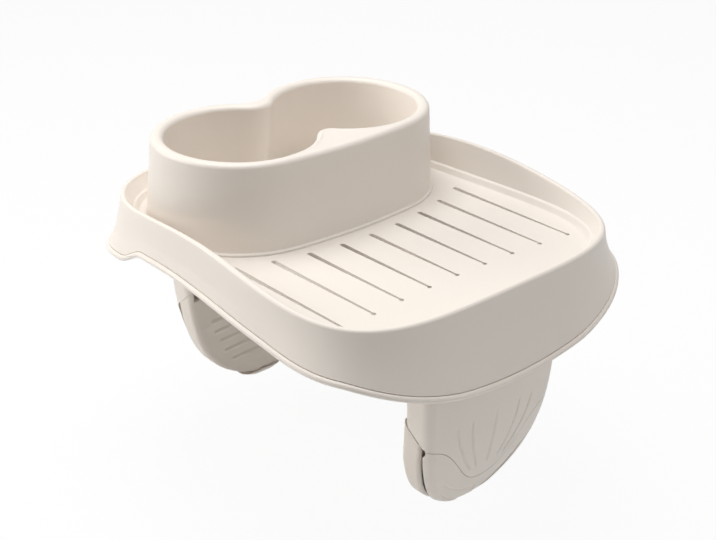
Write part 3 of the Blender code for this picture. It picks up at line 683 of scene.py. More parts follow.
def tray_profile(x, y, settings):
    """The wall's section at one place on the crest, as (outward, height), deck top to underside."""
    crest, lip, flare = crest_height(x), lip_height(x, y), skirt_flare(x)
    drop = crest - lip
    outer = CREST_THICKNESS * CREST_OUTER_SHARE
    deck_share = smooth_step((x - CREST_THINNING_X) / CREST_THINNING_REACH)
    thickness = CREST_THICKNESS_CUP + (CREST_THICKNESS - CREST_THICKNESS_CUP) * deck_share
    inner = outer - thickness
    middle, half = (inner + outer) / 2.0, thickness / 2.0
    on_side = smooth_step((abs(y) - CREASE_START_Y) / CREASE_REACH)
    kink = settings.crease_kink * on_side * (1.0 - smooth_step((x - CREASE_STOP_X) / CREASE_REACH))
    end_share = smooth_step((abs(x) - RIDGE_START_X) / RIDGE_REACH)
    off = abs(abs(y) - settings.ridge_place) / settings.ridge_width
    ridge = settings.ridge_height * end_share * max(0.0, 1.0 - off)
    ledge = -DECK_INSET + LEDGE_WIDTH

    def slope(share):
        return outer + (flare - outer) * skirt_lean(share, kink)

    points = [
        (-DECK_INSET - 0.0010, DECK_Z),
        (-DECK_INSET - 0.0003, DECK_Z + 0.00005),
        (-DECK_INSET + 0.0002, DECK_Z + 0.0004),
        *[(-DECK_INSET + LEDGE_WIDTH * out, DECK_Z + LEDGE_HEIGHT * up) for out, up in LEDGE_SHAPE],
        (ledge - 0.0003, DECK_Z + LEDGE_HEIGHT),
        (ledge + 0.0002, DECK_Z + LEDGE_HEIGHT + 0.0004),
    ]
    dome = half * CREST_FLATNESS
    for turn in even(math.pi, 0.0, 12):
        points.append((middle + half * math.cos(turn), crest - dome + dome * math.sin(turn)))
    for share in even(dome / drop + 0.03, 1.0 - BEAD * 1.9 / drop, 16):
        points.append((slope(share) + ridge * share, crest - drop * share))
    skirt_end = points[-1][0]
    round_x, round_z, radius = skirt_end + BEAD * 0.12, lip + BEAD * 0.85, BEAD * 0.85
    for turn in even(math.radians(130.0), math.radians(-100.0), 10):
        points.append((round_x + radius * math.cos(turn), round_z + radius * math.sin(turn)))
    back = skirt_end - SKIRT_THICKNESS
    points += [(back + 0.0004, lip + BEAD * 0.15), (back, lip + BEAD * 0.8)]
    points += [(slope(share) - SKIRT_THICKNESS, crest - drop * share) for share in (0.86, 0.74, 0.62, 0.50)]
    points += [
        (outer - SKIRT_THICKNESS * 0.45, crest - CREST_THICKNESS * 1.6),
        (inner + SKIRT_THICKNESS * 0.65, crest - CREST_THICKNESS * 1.6),
        (inner + SKIRT_THICKNESS * 0.20, DECK_Z + LEDGE_HEIGHT * 0.2),
        (ledge - SKIRT_THICKNESS * 0.2, DECK_Z - DECK_THICKNESS),
        (ledge - SKIRT_THICKNESS * 0.5, DECK_Z - DECK_THICKNESS),
    ]
    return points


def slot_outline(row):
    """A drain slot: wide and round by the cups, thin towards the end, with a round eye."""
    sweep = (row / ((SLOT_COUNT - 1) / 2.0)) ** 2
    start = SLOT_START - SLOT_START_SWEEP * sweep
    end = SLOT_END + SLOT_END_SWEEP * sweep
    y = row * SLOT_PITCH
    wide, eye = SLOT_WIDE / 2.0, SLOT_EYE / 2.0
    neck = math.asin(SLOT_NARROW / SLOT_EYE)
    head = arc(start + wide, y, wide, 0.5 * math.pi, 1.5 * math.pi, 10)
    head.append((start + wide, y - wide))
    return head + arc(end, y, eye, math.pi + neck, 3.0 * math.pi - neck, 20) \
        + [(end - eye * math.cos(neck), y + SLOT_NARROW / 2.0)]


def leg_screw_places(side):
    return [(side * x, y) for x in LEG_SCREW_X for y in (-LEG_SCREW_Y, LEG_SCREW_Y)]


def cup_screw_places():
    return [(CUP_SCREW_X, -CUP_SCREW_Y), (CUP_SCREW_X, CUP_SCREW_Y)]


def tab_places():
    reach = WELL_RADIUS + WALL_BAND - CUP_SHELL - TAB_THICKNESS
    return [(WELL_X - reach, -WELL_Y), (WELL_X - reach, WELL_Y)]


def rib_bottom(x):
    """Height of the saddle ribs' curved lower edge, which follows the tub wall."""
    beyond = max(0.0, abs(x) - PAD_HALF_LENGTH) / (RIB_HALF_LENGTH - PAD_HALF_LENGTH)
    return PAD_THICKNESS - RIB_SAG * beyond ** 2


def saddle_pieces():
    outline = [(x, rib_bottom(x)) for x in even(-RIB_HALF_LENGTH, RIB_HALF_LENGTH, 48)]
    outline += [(RIB_HALF_LENGTH, DECK_MIDDLE), (-RIB_HALF_LENGTH, DECK_MIDDLE)]
    half = (RIB_COUNT - 1) / 2.0
    pieces = []
    for number in range(RIB_COUNT):
        y = (number - half) * RIB_PITCH
        pieces.append(prism("rib", outline, "Y", y - RIB_THICKNESS / 2.0, y + RIB_THICKNESS / 2.0))
    reach = half * RIB_PITCH + RIB_THICKNESS * 2.0
    pad = block("pad", (-PAD_HALF_LENGTH, -reach, 0.0), (PAD_HALF_LENGTH, reach, PAD_THICKNESS * 1.5))
    return gather("ribs", pieces), pad


def build_tray_shell(settings):
    plan = crest_plan(settings.facets)
    sections = [tray_profile(x, y, settings) for x, y, _, _ in plan]
    rings = [[(x + out_x * outward, y + out_y * outward, height)
              for (x, y, out_x, out_y), (outward, height) in zip(plan, level)] for level in zip(*sections)]
    tray = loft("tray", rings)
    for piece in saddle_pieces():
        fuse(tray, piece)
    top = DECK_Z - HEAD_TOP
    places = leg_screw_places(1.0) + leg_screw_places(-1.0)
    fuse(tray, gather("bosses", [rod("boss", x, y, BOSS_RADIUS, top, DECK_MIDDLE) for x, y in places]))
    holes = [rod("pilot", x, y, SCREW_HOLE, top - GAP, top + SCREW_BITE) for x, y in places]
    for x, y in cup_screw_places():
        holes.append(rod("hole", x, y, SCREW_HOLE, PAD_THICKNESS * 2.5, DECK_Z + DECK_THICKNESS))
        holes.append(rod("reach", x, y, SCREW_HEAD + SCREW_CLEARANCE, -GAP, PAD_THICKNESS * 2.0))
    for y in (-WELL_Y, WELL_Y):
        holes.append(rod("drain", WELL_X, y, DRAIN_RADIUS, 0.0, DECK_Z + DECK_THICKNESS))
    for x, y in tab_places():
        reach = TAB_HOOK + TAB_THICKNESS + 2.0 * GAP
        low = (x - reach, y - TAB_WIDTH / 2.0 - GAP, DECK_Z - DECK_THICKNESS * 2.0)
        high = (x + 2.0 * GAP, y + TAB_WIDTH / 2.0 + GAP, DECK_Z + DECK_THICKNESS)
        holes.append(block("tab hole", low, high))
    half = (SLOT_COUNT - 1) // 2
    for row in range(-half, half + 1):
        low, high = DECK_Z - DECK_THICKNESS * 1.5, DECK_Z + DECK_THICKNESS
        holes.append(prism("slot", slot_outline(row), "Z", low, high))
    carve(tray, gather("holes", holes))
    return tray


def fillet_centre(radius, fillet, spread):
    reach = math.sqrt((radius + fillet) ** 2 - spread ** 2)
    return reach, math.atan2(spread, reach)


def between(rim, foot, low):
    return rim + (foot - rim) * low


def lobe_middle(low):
    """Where the two lobes have their middles: a little further forward and apart at the rim."""
    return between(WELL_X + RIM_FORWARD, WELL_X, low), between(WELL_Y + RIM_SPREAD, WELL_Y, low)


def cup_outline(grow, low, facets):
    """The ring's outer outline in plan: two lobes, one long front arc and a rounded neck at the back.

    Low is 0 at the rim and 1 at the foot, where the lobes stand further towards the deck.
    """
    middle, spread = lobe_middle(low)
    middle += CUP_LEAN * low
    radius = between(WELL_RADIUS - RIM_DRAW_IN + RIM_BAND, WELL_RADIUS + WALL_BAND + CUP_DRAFT, low) + grow
    span = radius + between(RIM_BULGE, CUP_BULGE + CUP_FRONT_DRAFT, low)
    sweep = (span ** 2 + spread ** 2 - radius ** 2) / (2.0 * (span - radius))
    centre = middle + span - sweep
    lean = math.atan2(spread, middle - centre)
    neck = between(RIM_NECK, NECK_FILLET, low) - grow
    reach, turn = fillet_centre(radius, neck, spread)
    nose = lean * NOSE_SHARE
    front, shoulder, back = facets * 2 // 5, facets // 5, facets // 4
    return arcs(
        (centre, 0.0, sweep, -nose, nose, front),
        (centre, 0.0, sweep, nose, lean, shoulder),
        (middle, spread, radius, lean, math.pi + turn, facets),
        (middle - reach, 0.0, neck, turn, -turn, back),
        (middle, -spread, radius, math.pi - turn, 2.0 * math.pi - lean, facets),
        (centre, 0.0, sweep, -lean, -nose, shoulder),
    )


def well_outline(grow, low, facets):
    """The twin wells' outline in plan: two circles that meet in a rounded waist."""
    middle, spread = lobe_middle(low)
    radius = between(WELL_RADIUS - RIM_DRAW_IN, WELL_RADIUS - WELL_DRAFT, low) + grow
    fillet = between(RIM_WAIST, WAIST_FILLET, low) - grow
    behind = between(RIM_BACK, WAIST_FILLET, low) - grow
    reach, turn = fillet_centre(radius, fillet, spread)
    back_reach, back_turn = fillet_centre(radius, behind, spread)
    front, shoulder, back = facets * 2 // 5, facets // 5, facets // 4
    return arcs(
        (middle + reach, 0.0, fillet, math.pi + turn, math.pi - turn, front),
        (middle, spread, radius, -turn, 0.0, shoulder),
        (middle, spread, radius, 0.0, math.pi + back_turn, facets),
        (middle - back_reach, 0.0, behind, back_turn, -back_turn, back),
        (middle, -spread, radius, math.pi - back_turn, 2.0 * math.pi, facets),
        (middle, -spread, radius, 0.0, turn, shoulder),
    )


def land_rings(rim, settings):
    """Rings across the rim's top, dropped where the band widens into the land between the wells."""
    facets = settings.lobe_facets
    inside = well_outline(RIM_ROUND, 0.0, facets)
    outside = cup_outline(-RIM_ROUND, 0.0, facets)
    rings = []
    for share in LAND_SHARES:
        ring = []
        for (ax, ay), (bx, by) in zip(inside, outside):
            width = math.hypot(bx - ax, by - ay)
            edge = width * min(share, 1.0 - share)
            land = smooth_step((width - LAND_START) / LAND_REACH)
            drop = settings.land_drop * land * smooth_step(edge / settings.land_bead)
            ring.append((ax + (bx - ax) * share, ay + (by - ay) * share, rim - drop))
        rings.append(ring)
    return rings


def cup_rings(settings, foot, rim, hollow):
    """The cup holder's skin, from a well's floor over the rim and down to the foot, and back inside."""
    facets = settings.lobe_facets
    floor = foot + CUP_FLOOR
    fillet_top, bend = floor + WELL_FILLET, rim - RIM_ROUND
    rings = []

    def well(grow, low, height):
        rings.append([(x, y, height) for x, y in well_outline(grow, low, facets)])

    def wall(grow, low, height):
        rings.append([(x, y, height) for x, y in cup_outline(grow, low, facets)])

    for turn in even(0.0, 0.5 * math.pi, 6):
        well(-WELL_FILLET * (1.0 - math.sin(turn)), 1.0, floor + WELL_FILLET * (1.0 - math.cos(turn)))
    for share in even(0.0, 1.0, 6)[1:-1]:
        well(0.0, 1.0 - share, fillet_top + (bend - fillet_top) * share)
    quarter = even(0.0, 0.5 * math.pi, settings.rim_steps)
    for turn in quarter[:-1]:
        well(RIM_ROUND * (1.0 - math.cos(turn)), 0.0, rim - RIM_ROUND * (1.0 - math.sin(turn)))
    rings += land_rings(rim, settings)
    for turn in quarter[1:]:
        wall(-RIM_ROUND * (1.0 - math.sin(turn)), 0.0, rim - RIM_ROUND * (1.0 - math.cos(turn)))
    for share in even(0.0, 1.0, 12)[1:]:
        wall(0.0, share, bend + (floor - bend) * share)
    for grow, height in FOOT_SHAPE:
        wall(CUP_FOOT * grow, 1.0, foot + CUP_FLOOR * height)
    wall(CUP_FOOT, 1.0, DECK_Z + GAP * 0.2)
    wall(-CUP_SHELL, 1.0, foot)
    wall(-CUP_SHELL * 0.85, 0.0, hollow)
    well(CUP_SHELL, 0.0, hollow)
    well(CUP_SHELL, 1.0, foot)
    return rings


def build_cup_holder(settings):
    foot = DECK_Z + GAP
    floor = foot + CUP_FLOOR
    rim = DECK_Z + CUP_HEIGHT
    hollow = rim - HOLLOW_DROP
    cups = loft("cups", cup_rings(settings, foot, rim, hollow))
    bosses = [rod("boss", x, y, BOSS_RADIUS, foot, hollow + CUP_SHELL * 0.5) for x, y in cup_screw_places()]
    fuse(cups, gather("bosses", bosses))
    half = TAB_WIDTH / 2.0
    under = DECK_Z - DECK_THICKNESS - GAP
    for x, y in tab_places():
        boxes = (
            ("root", x - TAB_THICKNESS, foot + CUP_FLOOR * 0.5, x + TAB_THICKNESS, foot + CUP_FLOOR * 4.0),
            ("tab", x - TAB_THICKNESS, under - TAB_THICKNESS, x, floor),
            ("hook", x - TAB_THICKNESS - TAB_HOOK, under - TAB_THICKNESS, x, under),
        )
        for name, low_x, low_z, high_x, high_z in boxes:
            fuse(cups, block(name, (low_x, y - half, low_z), (high_x, y + half, high_z)))
    holes = [rod("pilot", x, y, SCREW_HOLE, foot - GAP, foot + SCREW_BITE) for x, y in cup_screw_places()]
    holes += [rod("drain", WELL_X, y, DRAIN_RADIUS, foot - GAP, floor + CUP_FLOOR) for y in (-WELL_Y, WELL_Y)]
    carve(cups, gather("holes", holes))
    return cups


def leg_shape(depth):
    """Outer face, inner face and half width of a leg at a depth below the deck."""
    lean = LEG_LEAN * max(0.0, (depth - LEAN_TOP) / (LEG_TIP - LEAN_TOP)) ** LEAN_CURVE
    thinning = LEG_THINNING * max(0.0, (depth - THINNING_TOP) / (LEG_TIP - THINNING_TOP))
    width = LEG_HALF_WIDTH * math.sqrt(max(0.0, 1.0 - (depth / LEG_TIP) ** LEG_TAPER))
    into_tip = max(0.0, 1.0 - (LEG_TIP - depth) / TIP_ROUND)
    draw_in = TIP_ROUND * TIP_DRAW_IN * (1.0 - math.sqrt(1.0 - min(1.0, into_tip) ** 2))
    outer = LEG_OUT - lean - draw_in
    inner = LEG_OUT - lean - LEG_DEPTH + thinning + draw_in
    return outer, inner, width


def plate_depth(depth):
    """How deep the grip plate is from its face to the slot, at a depth below the deck."""
    outer, inner, _ = leg_shape(depth)
    return PLATE_DEPTH * (outer - inner) / LEG_DEPTH


def leg_section(outer, inner, width, corner, faces, bulge=0.0, dish=0.0, reliefs=(None, None), edge=None):
    """One level of a leg, seen from above: two rounded long faces and two narrow sides.

    Reliefs give the heights on the outer and inner face, and edge is a smaller corner for the outer one.
    """
    corner = min(corner, (outer - inner) * CORNER_OF_DEPTH, width * CORNER_OF_WIDTH)
    edge = corner if edge is None else min(corner, edge)
    flat, near = width - corner, width - edge
    flat_x = outer + bulge * (1.0 - (flat / width) ** 2)
    half, turns = faces // 2, 8
    front, back = [], []
    for step in range(-half, half):
        y = flat * step / half
        raised = reliefs[0](y) if reliefs[0] else 0.0
        front.append((outer + bulge * (1.0 - (y / width) ** 2) + raised, y))
        raised = reliefs[1](-y) if reliefs[1] else 0.0
        back.append((inner + dish * (1.0 - (y / flat) ** 2) - raised, -y))
    right = arcs((flat_x - edge, near, edge, 0.0, 0.5 * math.pi, turns),
                 (inner + corner, flat, corner, 0.5 * math.pi, math.pi, turns))
    left = arcs((inner + corner, -flat, corner, math.pi, 1.5 * math.pi, turns),
                (flat_x - edge, -near, edge, 1.5 * math.pi, 2.0 * math.pi, turns))
    return front + right + back + left


def leg_depths(top, bottom, levels):
    """Depths of a leg's levels, closer together towards the tip."""
    quarter = 0.5 * math.pi
    return [top + (bottom - top) * (TIP_CROWDING * math.sin(turn) + (1.0 - TIP_CROWDING) * turn / quarter)
            for turn in even(0.0, quarter, levels)]


def leg_rings(top, bottom, settings, relief, section, levels_share=1.0):
    """A leg piece's rings: fine ones if it has a relief, plain ones if it is a tool for a hollow."""
    fine = relief is not None
    faces = settings.face_facets if fine else PLAIN_STEPS
    levels = int(settings.levels * levels_share) if fine else PLAIN_STEPS
    rings = []
    for depth in leg_depths(top, bottom, levels):
        raised = (lambda y, depth=depth: relief(y, depth)) if fine else None
        rings.append([(x, y, DECK_Z - depth) for x, y in section(depth, faces, raised)])
    return rings


def leg_loft(name, top, bottom, settings, inset=0.0, relief=None):
    """A leg's outer form between two depths, or that form drawn in by an inset."""
    def section(depth, faces, raised):
        outer, inner, width = leg_shape(depth)
        return leg_section(outer - inset, inner + inset, width - inset, LEG_CORNER - inset, faces,
                           bulge=LEG_BULGE, reliefs=(raised, None))

    return loft(name, leg_rings(top, bottom, settings, relief, section))


def seam_depth(y):
    """Depth of the seam on the outer face: level shoulders and a rounded tongue in the middle."""
    bell = math.exp(-(abs(y / TONGUE_HALF_WIDTH) ** TONGUE_CURVE))
    return SEAM_OUTER + (TONGUE_TIP - SEAM_OUTER) * bell


def wall_face(depth):
    """Inner surface of a stem's outer wall."""
    return leg_shape(depth)[0] - LEG_WALL


def runner_face():
    """Outer face of the runner that slides inside the stem."""
    return wall_face(TONGUE_TIP + LEG_WALL) - GAP


def leg_block(name, x_low, x_high, y_low, y_high, top, bottom):
    """A block between two depths below the deck."""
    return block(name, (x_low, y_low, DECK_Z - bottom), (x_high, y_high, DECK_Z - top))


def leg_prism(name, outline, axis, low, high):
    """A prism along X or Y whose outline has depths below the deck in place of heights."""
    return prism(name, [(across, DECK_Z - depth) for across, depth in outline], axis, low, high)


def below_seam_side():
    """What lies below the sloping seam on a leg's narrow sides, as x and depth."""
    inner, tongue = leg_shape(SEAM_INNER)[1], runner_face()
    return [(HEAD_IN, TOOL_DEPTH), (tongue, TOOL_DEPTH), (tongue, TONGUE_TIP + LEG_WALL),
            (wall_face(SEAM_OUTER) - GAP, SEAM_OUTER), (inner, SEAM_INNER), (HEAD_IN, SEAM_INNER)]


def above_seam_side():
    """What lies above that seam, one gap lower, for the pieces that stand below it."""
    inner, outer = leg_shape(SEAM_INNER)[1], wall_face(SEAM_OUTER) + GAP
    return [(HEAD_IN, SEAM_INNER + GAP), (inner, SEAM_INNER + GAP), (outer - 2.0 * GAP, SEAM_OUTER + GAP),
            (outer, SEAM_OUTER + GAP), (outer, HEAD_TOP), (HEAD_IN, HEAD_TOP)]


def seam_outline(half_width, shift, close_depth):
    """The seam on the outer face as y and depth, closed at a depth above or below it."""
    count = int(half_width / SEAM_STEP)
    line = [step * SEAM_STEP for step in range(-count, count + 1)]
    outline = [(y, seam_depth(y) + shift) for y in line]
    return outline + [(line[-1], close_depth), (line[0], close_depth)]


def fan_relief(y, depth, settings):
    """The five grooves that fan down to the tongue, as a height on the outer face."""
    along = (depth - FAN_TOP) / (FAN_BOTTOM - FAN_TOP)
    if not -FAN_FADE < along < 1.0 + FAN_FADE:
        return 0.0
    fade = 2.0 * FAN_FADE
    ends = smooth_step((along + FAN_FADE) / fade) * smooth_step((1.0 + FAN_FADE - along) / fade)
    inside = max(0.0, min(1.0, along))
    depth_here = 0.0
    for number in range(FAN_GROOVES):
        share = number / (FAN_GROOVES - 1.0) * 2.0 - 1.0
        bend = math.copysign(abs(share) ** FAN_BEND, share)
        line = bend * (FAN_SPREAD + (FAN_ROOT - FAN_SPREAD) * inside ** FAN_CURVE)
        near = max(0.0, 1.0 - ((y - line) / settings.groove_width) ** 2)
        depth_here = max(depth_here, near)
    return -settings.groove_depth * depth_here * ends


def edge_relief(y, depth, settings):
    """A fine crease a little inside the edge of a boot's outer face, which fades out above it."""
    def edge_line(at):
        return EDGE_HALF_WIDTH * math.sqrt(max(0.0, 1.0 - (at / EDGE_TIP) ** LEG_TAPER))

    line = edge_line(depth)
    slope = (line - edge_line(depth + GAP)) / GAP
    off = (abs(y) - line) / math.hypot(1.0, slope)
    band = smooth_step(0.5 + off / settings.edge_width)
    fold = max(0.0, 1.0 - (off / settings.edge_width) ** 2)
    fade = smooth_step((depth - EDGE_TOP) / EDGE_FADE)
    return -settings.edge_depth * (band + 0.5 * fold) * fade


def guide_outline(front, bottom):
    """A guide's side view: straight in front, and sunk halfway into the stem's outer wall."""
    top = HEAD_TOP + 2.0 * GAP
    outline = [(wall_face(depth) + LEG_WALL / 2.0, depth) for depth in even(top, bottom, 24)]
    return outline + [(front, bottom), (front, top)]


def build_stem(settings):
    top = HEAD_TOP + GAP
    head_bottom = top + HEAD_THICKNESS

    def relief(y, depth):
        return fan_relief(y, depth, settings) + edge_relief(y, depth, settings)

    stem = leg_loft("stem", top, TONGUE_TIP + LEG_WALL, settings, relief=relief)
    carve(stem, leg_loft("hollow", head_bottom, TONGUE_TIP + LEG_WALL * 2.0, settings, LEG_WALL))
    inner = leg_shape(top)[1]
    half = LEG_HALF_WIDTH - WINDOW_FRAME
    window_in = inner + LEG_WALL * 1.5
    carve(stem, leg_block("window", HEAD_IN, window_in, -half, half, head_bottom + LEG_WALL, TOOL_DEPTH))
    carve(stem, leg_prism("side cut", below_seam_side(), "Y", -LEG_OUT, LEG_OUT))
    carve(stem, leg_prism("seam cut", seam_outline(TOOL_HALF_WIDTH, 0.0, TOOL_DEPTH), "X", HEAD_IN, TOOL_OUT))
    edge, wide = LEG_OUT - LEG_WALL, HEAD_HALF_WIDTH
    fuse(stem, leg_block("head", HEAD_IN, edge, -wide, wide, top, head_bottom))
    front = runner_face() - RUNNER_THICKNESS + GAP
    stop_top = RUNNER_TOP + RUNNER_THICKNESS + BOOT_TRAVEL + GAP
    stop_bottom = stop_top + RUNNER_THICKNESS
    stop_span = (front - RUNNER_THICKNESS * 0.5, front + LEG_WALL)
    guide = guide_outline(front, stop_bottom)
    guide_y = RUNNER_HALF_WIDTH + GAP
    reach = inner + LEG_WALL * 1.2
    gusset_top, gusset_bottom = head_bottom - GAP, head_bottom + LEG_DEPTH * 0.6
    gusset = [(HEAD_IN + LEG_WALL, gusset_top), (reach, gusset_top),
              (reach, gusset_bottom), (inner - GAP, gusset_bottom)]
    for side in (-1.0, 1.0):
        span = sorted((side * guide_y, side * (guide_y + LEG_WALL)))
        fuse(stem, leg_prism("guide", guide, "Y", *span))
        span = sorted((side * guide_y, side * (guide_y + LEG_WALL * 1.5)))
        fuse(stem, leg_block("stop", *stop_span, *span, stop_top, stop_bottom))
        y = side * (half + LEG_WALL / 2.0)
        fuse(stem, leg_prism("gusset", gusset, "Y", y - LEG_WALL / 2.0, y + LEG_WALL / 2.0))
    low, high = DECK_Z - head_bottom - GAP, DECK_Z - top + GAP
    holes = [rod("hole", x, y, SCREW_HOLE, low, high) for x, y in leg_screw_places(1.0)]
    carve(stem, gather("holes", holes))
    return stem


def runner_outline(front, back):
    """The runner's side view: a straight bar that sinks into the boot's outer wall lower down."""
    outline = [(min(back, leg_shape(depth)[0] - LEG_WALL / 2.0), depth)
               for depth in even(RUNNER_TOP, RUNNER_BOTTOM, 32)]
    return outline + [(front, RUNNER_BOTTOM), (front, RUNNER_TOP)]


def build_boot(settings):
    def relief(y, depth):
        return edge_relief(y, depth, settings)

    boot = leg_loft("boot", SEAM_INNER, LEG_TIP - LEG_WALL * 0.3, settings, relief=relief)
    carve(boot, leg_loft("hollow", SEAM_INNER - LEG_WALL, LEG_TIP - LEG_WALL * 2.4, settings, LEG_WALL))
    carve(boot, leg_prism("side cut", above_seam_side(), "Y", -LEG_OUT, LEG_OUT))
    outline = seam_outline(TOOL_HALF_WIDTH, GAP, HEAD_TOP)
    carve(boot, leg_prism("seam cut", outline, "X", wall_face(SEAM_OUTER + LEG_WALL), TOOL_OUT))
    outline = seam_outline(leg_shape(SEAM_OUTER)[2] - LEG_WALL, GAP * 1.2, HEAD_TOP)
    carve(boot, leg_prism("tongue cut", outline, "X", runner_face(), TOOL_OUT))
    outline = []
    for depth in even(HEAD_TOP, PLATE_TIP + GAP, 40):
        hole = PLATE_HOLE * smooth_step((PLATE_HOLE_DEPTH - depth) / PLATE_HOLE)
        outline.append((leg_shape(depth)[1] + plate_depth(depth) + PLATE_SLOT + hole, depth))
    outline += [(HEAD_IN, PLATE_TIP + GAP), (HEAD_IN, HEAD_TOP)]
    carve(boot, leg_prism("plate cut", outline, "Y", -LEG_OUT, LEG_OUT))
    back, front = runner_face(), runner_face() - RUNNER_THICKNESS
    half, catch = RUNNER_HALF_WIDTH, RUNNER_HALF_WIDTH + LEG_WALL
    fuse(boot, leg_prism("runner", runner_outline(front, back), "Y", -half, half))
    fuse(boot, leg_block("catch", front - RUNNER_THICKNESS * 0.5, front + GAP * 0.5, -catch, catch,
                         RUNNER_TOP, RUNNER_TOP + RUNNER_THICKNESS))
    sockets = []
    for y in (-PEG_SPREAD, PEG_SPREAD):
        outline = circle(y, DECK_Z - PEG_DROP, PEG_RADIUS + GAP)
        sockets.append(prism("socket", outline, "X", front - LEG_WALL, back + LEG_WALL))
    carve(boot, gather("sockets", sockets))
    return boot


def grip_relief(y, depth):
    """The raised rounded ribs on a grip plate's inner face."""
    height = 0.0
    for number in range(GRIP_RIBS):
        centre = GRIP_TOP + number * GRIP_PITCH
        half = leg_shape(centre)[2] - GRIP_MARGIN
        past_end = max(0.0, abs(y) - half + GRIP_HEIGHT)
        off = math.hypot(depth - centre, past_end) / (GRIP_HEIGHT * 1.1)
        if off < 1.0:
            height = max(height, GRIP_HEIGHT * 0.95 * math.sqrt(1.0 - off ** 2))
    return height


def plate_loft(name, top, bottom, inset, settings, relief=None):
    """The grip plate's form: a shallow dished shell whose flanks turn towards the boot."""
    def section(depth, faces, raised):
        _, inner, _ = leg_shape(depth)
        width = (LEG_HALF_WIDTH - PLATE_EDGE) * math.sqrt(1.0 - (depth / PLATE_TIP) ** PLATE_TAPER)
        outer = inner + (plate_depth(depth) + (LEG_WALL if inset > 0.0 else 0.0))
        return leg_section(outer, inner + inset, width - inset, LEG_CORNER * 0.6, faces,
                           dish=PLATE_DISH, reliefs=(None, raised), edge=PLATE_ROUND)

    return loft(name, leg_rings(top, bottom, settings, relief, section, 1.5))


def build_grip_plate(settings):
    plate = plate_loft("plate", SEAM_INNER, PLATE_TIP - PLATE_WALL * 0.2, 0.0, settings, grip_relief)
    hollow_tip = PLATE_TIP - PLATE_WALL * 2.0
    carve(plate, plate_loft("hollow", SEAM_INNER - PLATE_WALL, hollow_tip, PLATE_WALL, settings))
    carve(plate, leg_prism("side cut", above_seam_side(), "Y", -LEG_OUT, LEG_OUT))
    notch = RUNNER_HALF_WIDTH + LEG_WALL * 1.5 + 2.0 * GAP
    carve(plate, leg_block("notch", HEAD_IN, LEG_OUT, -notch, notch, HEAD_TOP, NOTCH_BOTTOM))
    half = LEG_HALF_WIDTH - WINDOW_FRAME
    carve(plate, leg_block("top", HEAD_IN, LEG_OUT, -half, half, HEAD_TOP, PLATE_TOP))
    inner = leg_shape(PEG_DROP)[1]
    for y in (-PEG_SPREAD, PEG_SPREAD):
        outline = circle(y, DECK_Z - PEG_DROP, PEG_RADIUS)
        fuse(plate, prism("peg", outline, "X", inner + PLATE_DISH + PLATE_WALL * 0.3, runner_face() - GAP))
    return plate


def build_screw(length):
    """A pan head screw that points up, with a cross recess and the underside of its head at its origin."""
    profile = [(SCREW_HEAD * out, -SCREW_HEAD_HEIGHT * down) for out, down in SCREW_HEAD_SHAPE]
    profile += [(SCREW_HEAD, 0.0), (SCREW_SHANK, 0.0)]
    for turn in range(int((length - SCREW_SHANK) / THREAD_PITCH)):
        low = turn * THREAD_PITCH
        profile.append((SCREW_SHANK - THREAD_DEPTH, low + THREAD_PITCH * 0.30))
        profile.append((SCREW_SHANK, low + THREAD_PITCH * 0.80))
    profile.append((SCREW_SHANK * 0.3, length))
    rings = [[(x, y, height) for x, y in circle(0.0, 0.0, radius, 32)] for radius, height in profile]
    screw = loft("screw", rings)
    arm, slit = SCREW_HEAD * 0.55, SCREW_HEAD * 0.11
    low, high = -SCREW_HEAD_HEIGHT * 1.2, -SCREW_HEAD_HEIGHT * 0.45
    carve(screw, block("slit", (-arm, -slit, low), (arm, slit, high)))
    carve(screw, block("slit", (-slit, -arm, low), (slit, arm, high)))
    return screw


def place_screws(name, places, height, length):
    screw = build_screw(length)
    shade(screw, screw_steel(), 35.0)
    for number, (x, y) in enumerate(places):
        piece = screw if number == 0 else turned_copy(screw, 0.0)
        piece.location = (x, y, height)
        stand_in(piece, f"{name}_{number + 1}", "tray")


def build_pair(build, name, material, bodies, settings):
    """One leg piece, and its twin turned half round at the other end."""
    piece = build(settings)
    if settings.seam_round > 0.0:
        round_edges(piece, settings.seam_round)
    shade(piece, material)
    for end, body, each in zip(ENDS, bodies, (piece, turned_copy(piece))):
        stand_in(each, name + "_" + end, body)


class TRAY_OT_shell(bpy.types.Operator):
    """Build the tray: crest, skirt, slotted deck and the saddle under it"""
    bl_idname = "tray.shell"
    bl_label = "Tray shell"

    def execute(self, context):
        piece = build_tray_shell(context.scene.tray_shape)
        shade(piece, shell_plastic())
        stand_in(piece, "tray_shell", "tray")
        return {"FINISHED"}


class TRAY_OT_cup_holder(bpy.types.Operator):
    """Build the twin-well cup holder"""
    bl_idname = "tray.cup_holder"
    bl_label = "Cup holder"

    def execute(self, context):
        piece = build_cup_holder(context.scene.tray_cups)
        shade(piece, shell_plastic())
        stand_in(piece, "cup_holder", "tray")
        return {"FINISHED"}


class TRAY_OT_stems(bpy.types.Operator):
    """Build the two leg stems"""
    bl_idname = "tray.stems"
    bl_label = "Leg stems"

    def execute(self, context):
        legs = context.scene.tray_legs
        build_pair(build_stem, "leg_stem", shell_plastic(), ("tray", "tray"), legs)
        return {"FINISHED"}


class TRAY_OT_boots(bpy.types.Operator):
    """Build the two boots that slide down the stems"""
    bl_idname = "tray.boots"
    bl_label = "Boots"

    def execute(self, context):
        legs = context.scene.tray_legs
        build_pair(build_boot, "boot_shell", shell_plastic(), BOOTS, legs)
        return {"FINISHED"}


class TRAY_OT_grip_plates(bpy.types.Operator):
    """Build the two ribbed grip plates that press on the tub wall"""
    bl_idname = "tray.grip_plates"
    bl_label = "Grip plates"

    def execute(self, context):
        legs = context.scene.tray_legs
        build_pair(build_grip_plate, "grip_plate", grip_plastic(), BOOTS, legs)
        return {"FINISHED"}


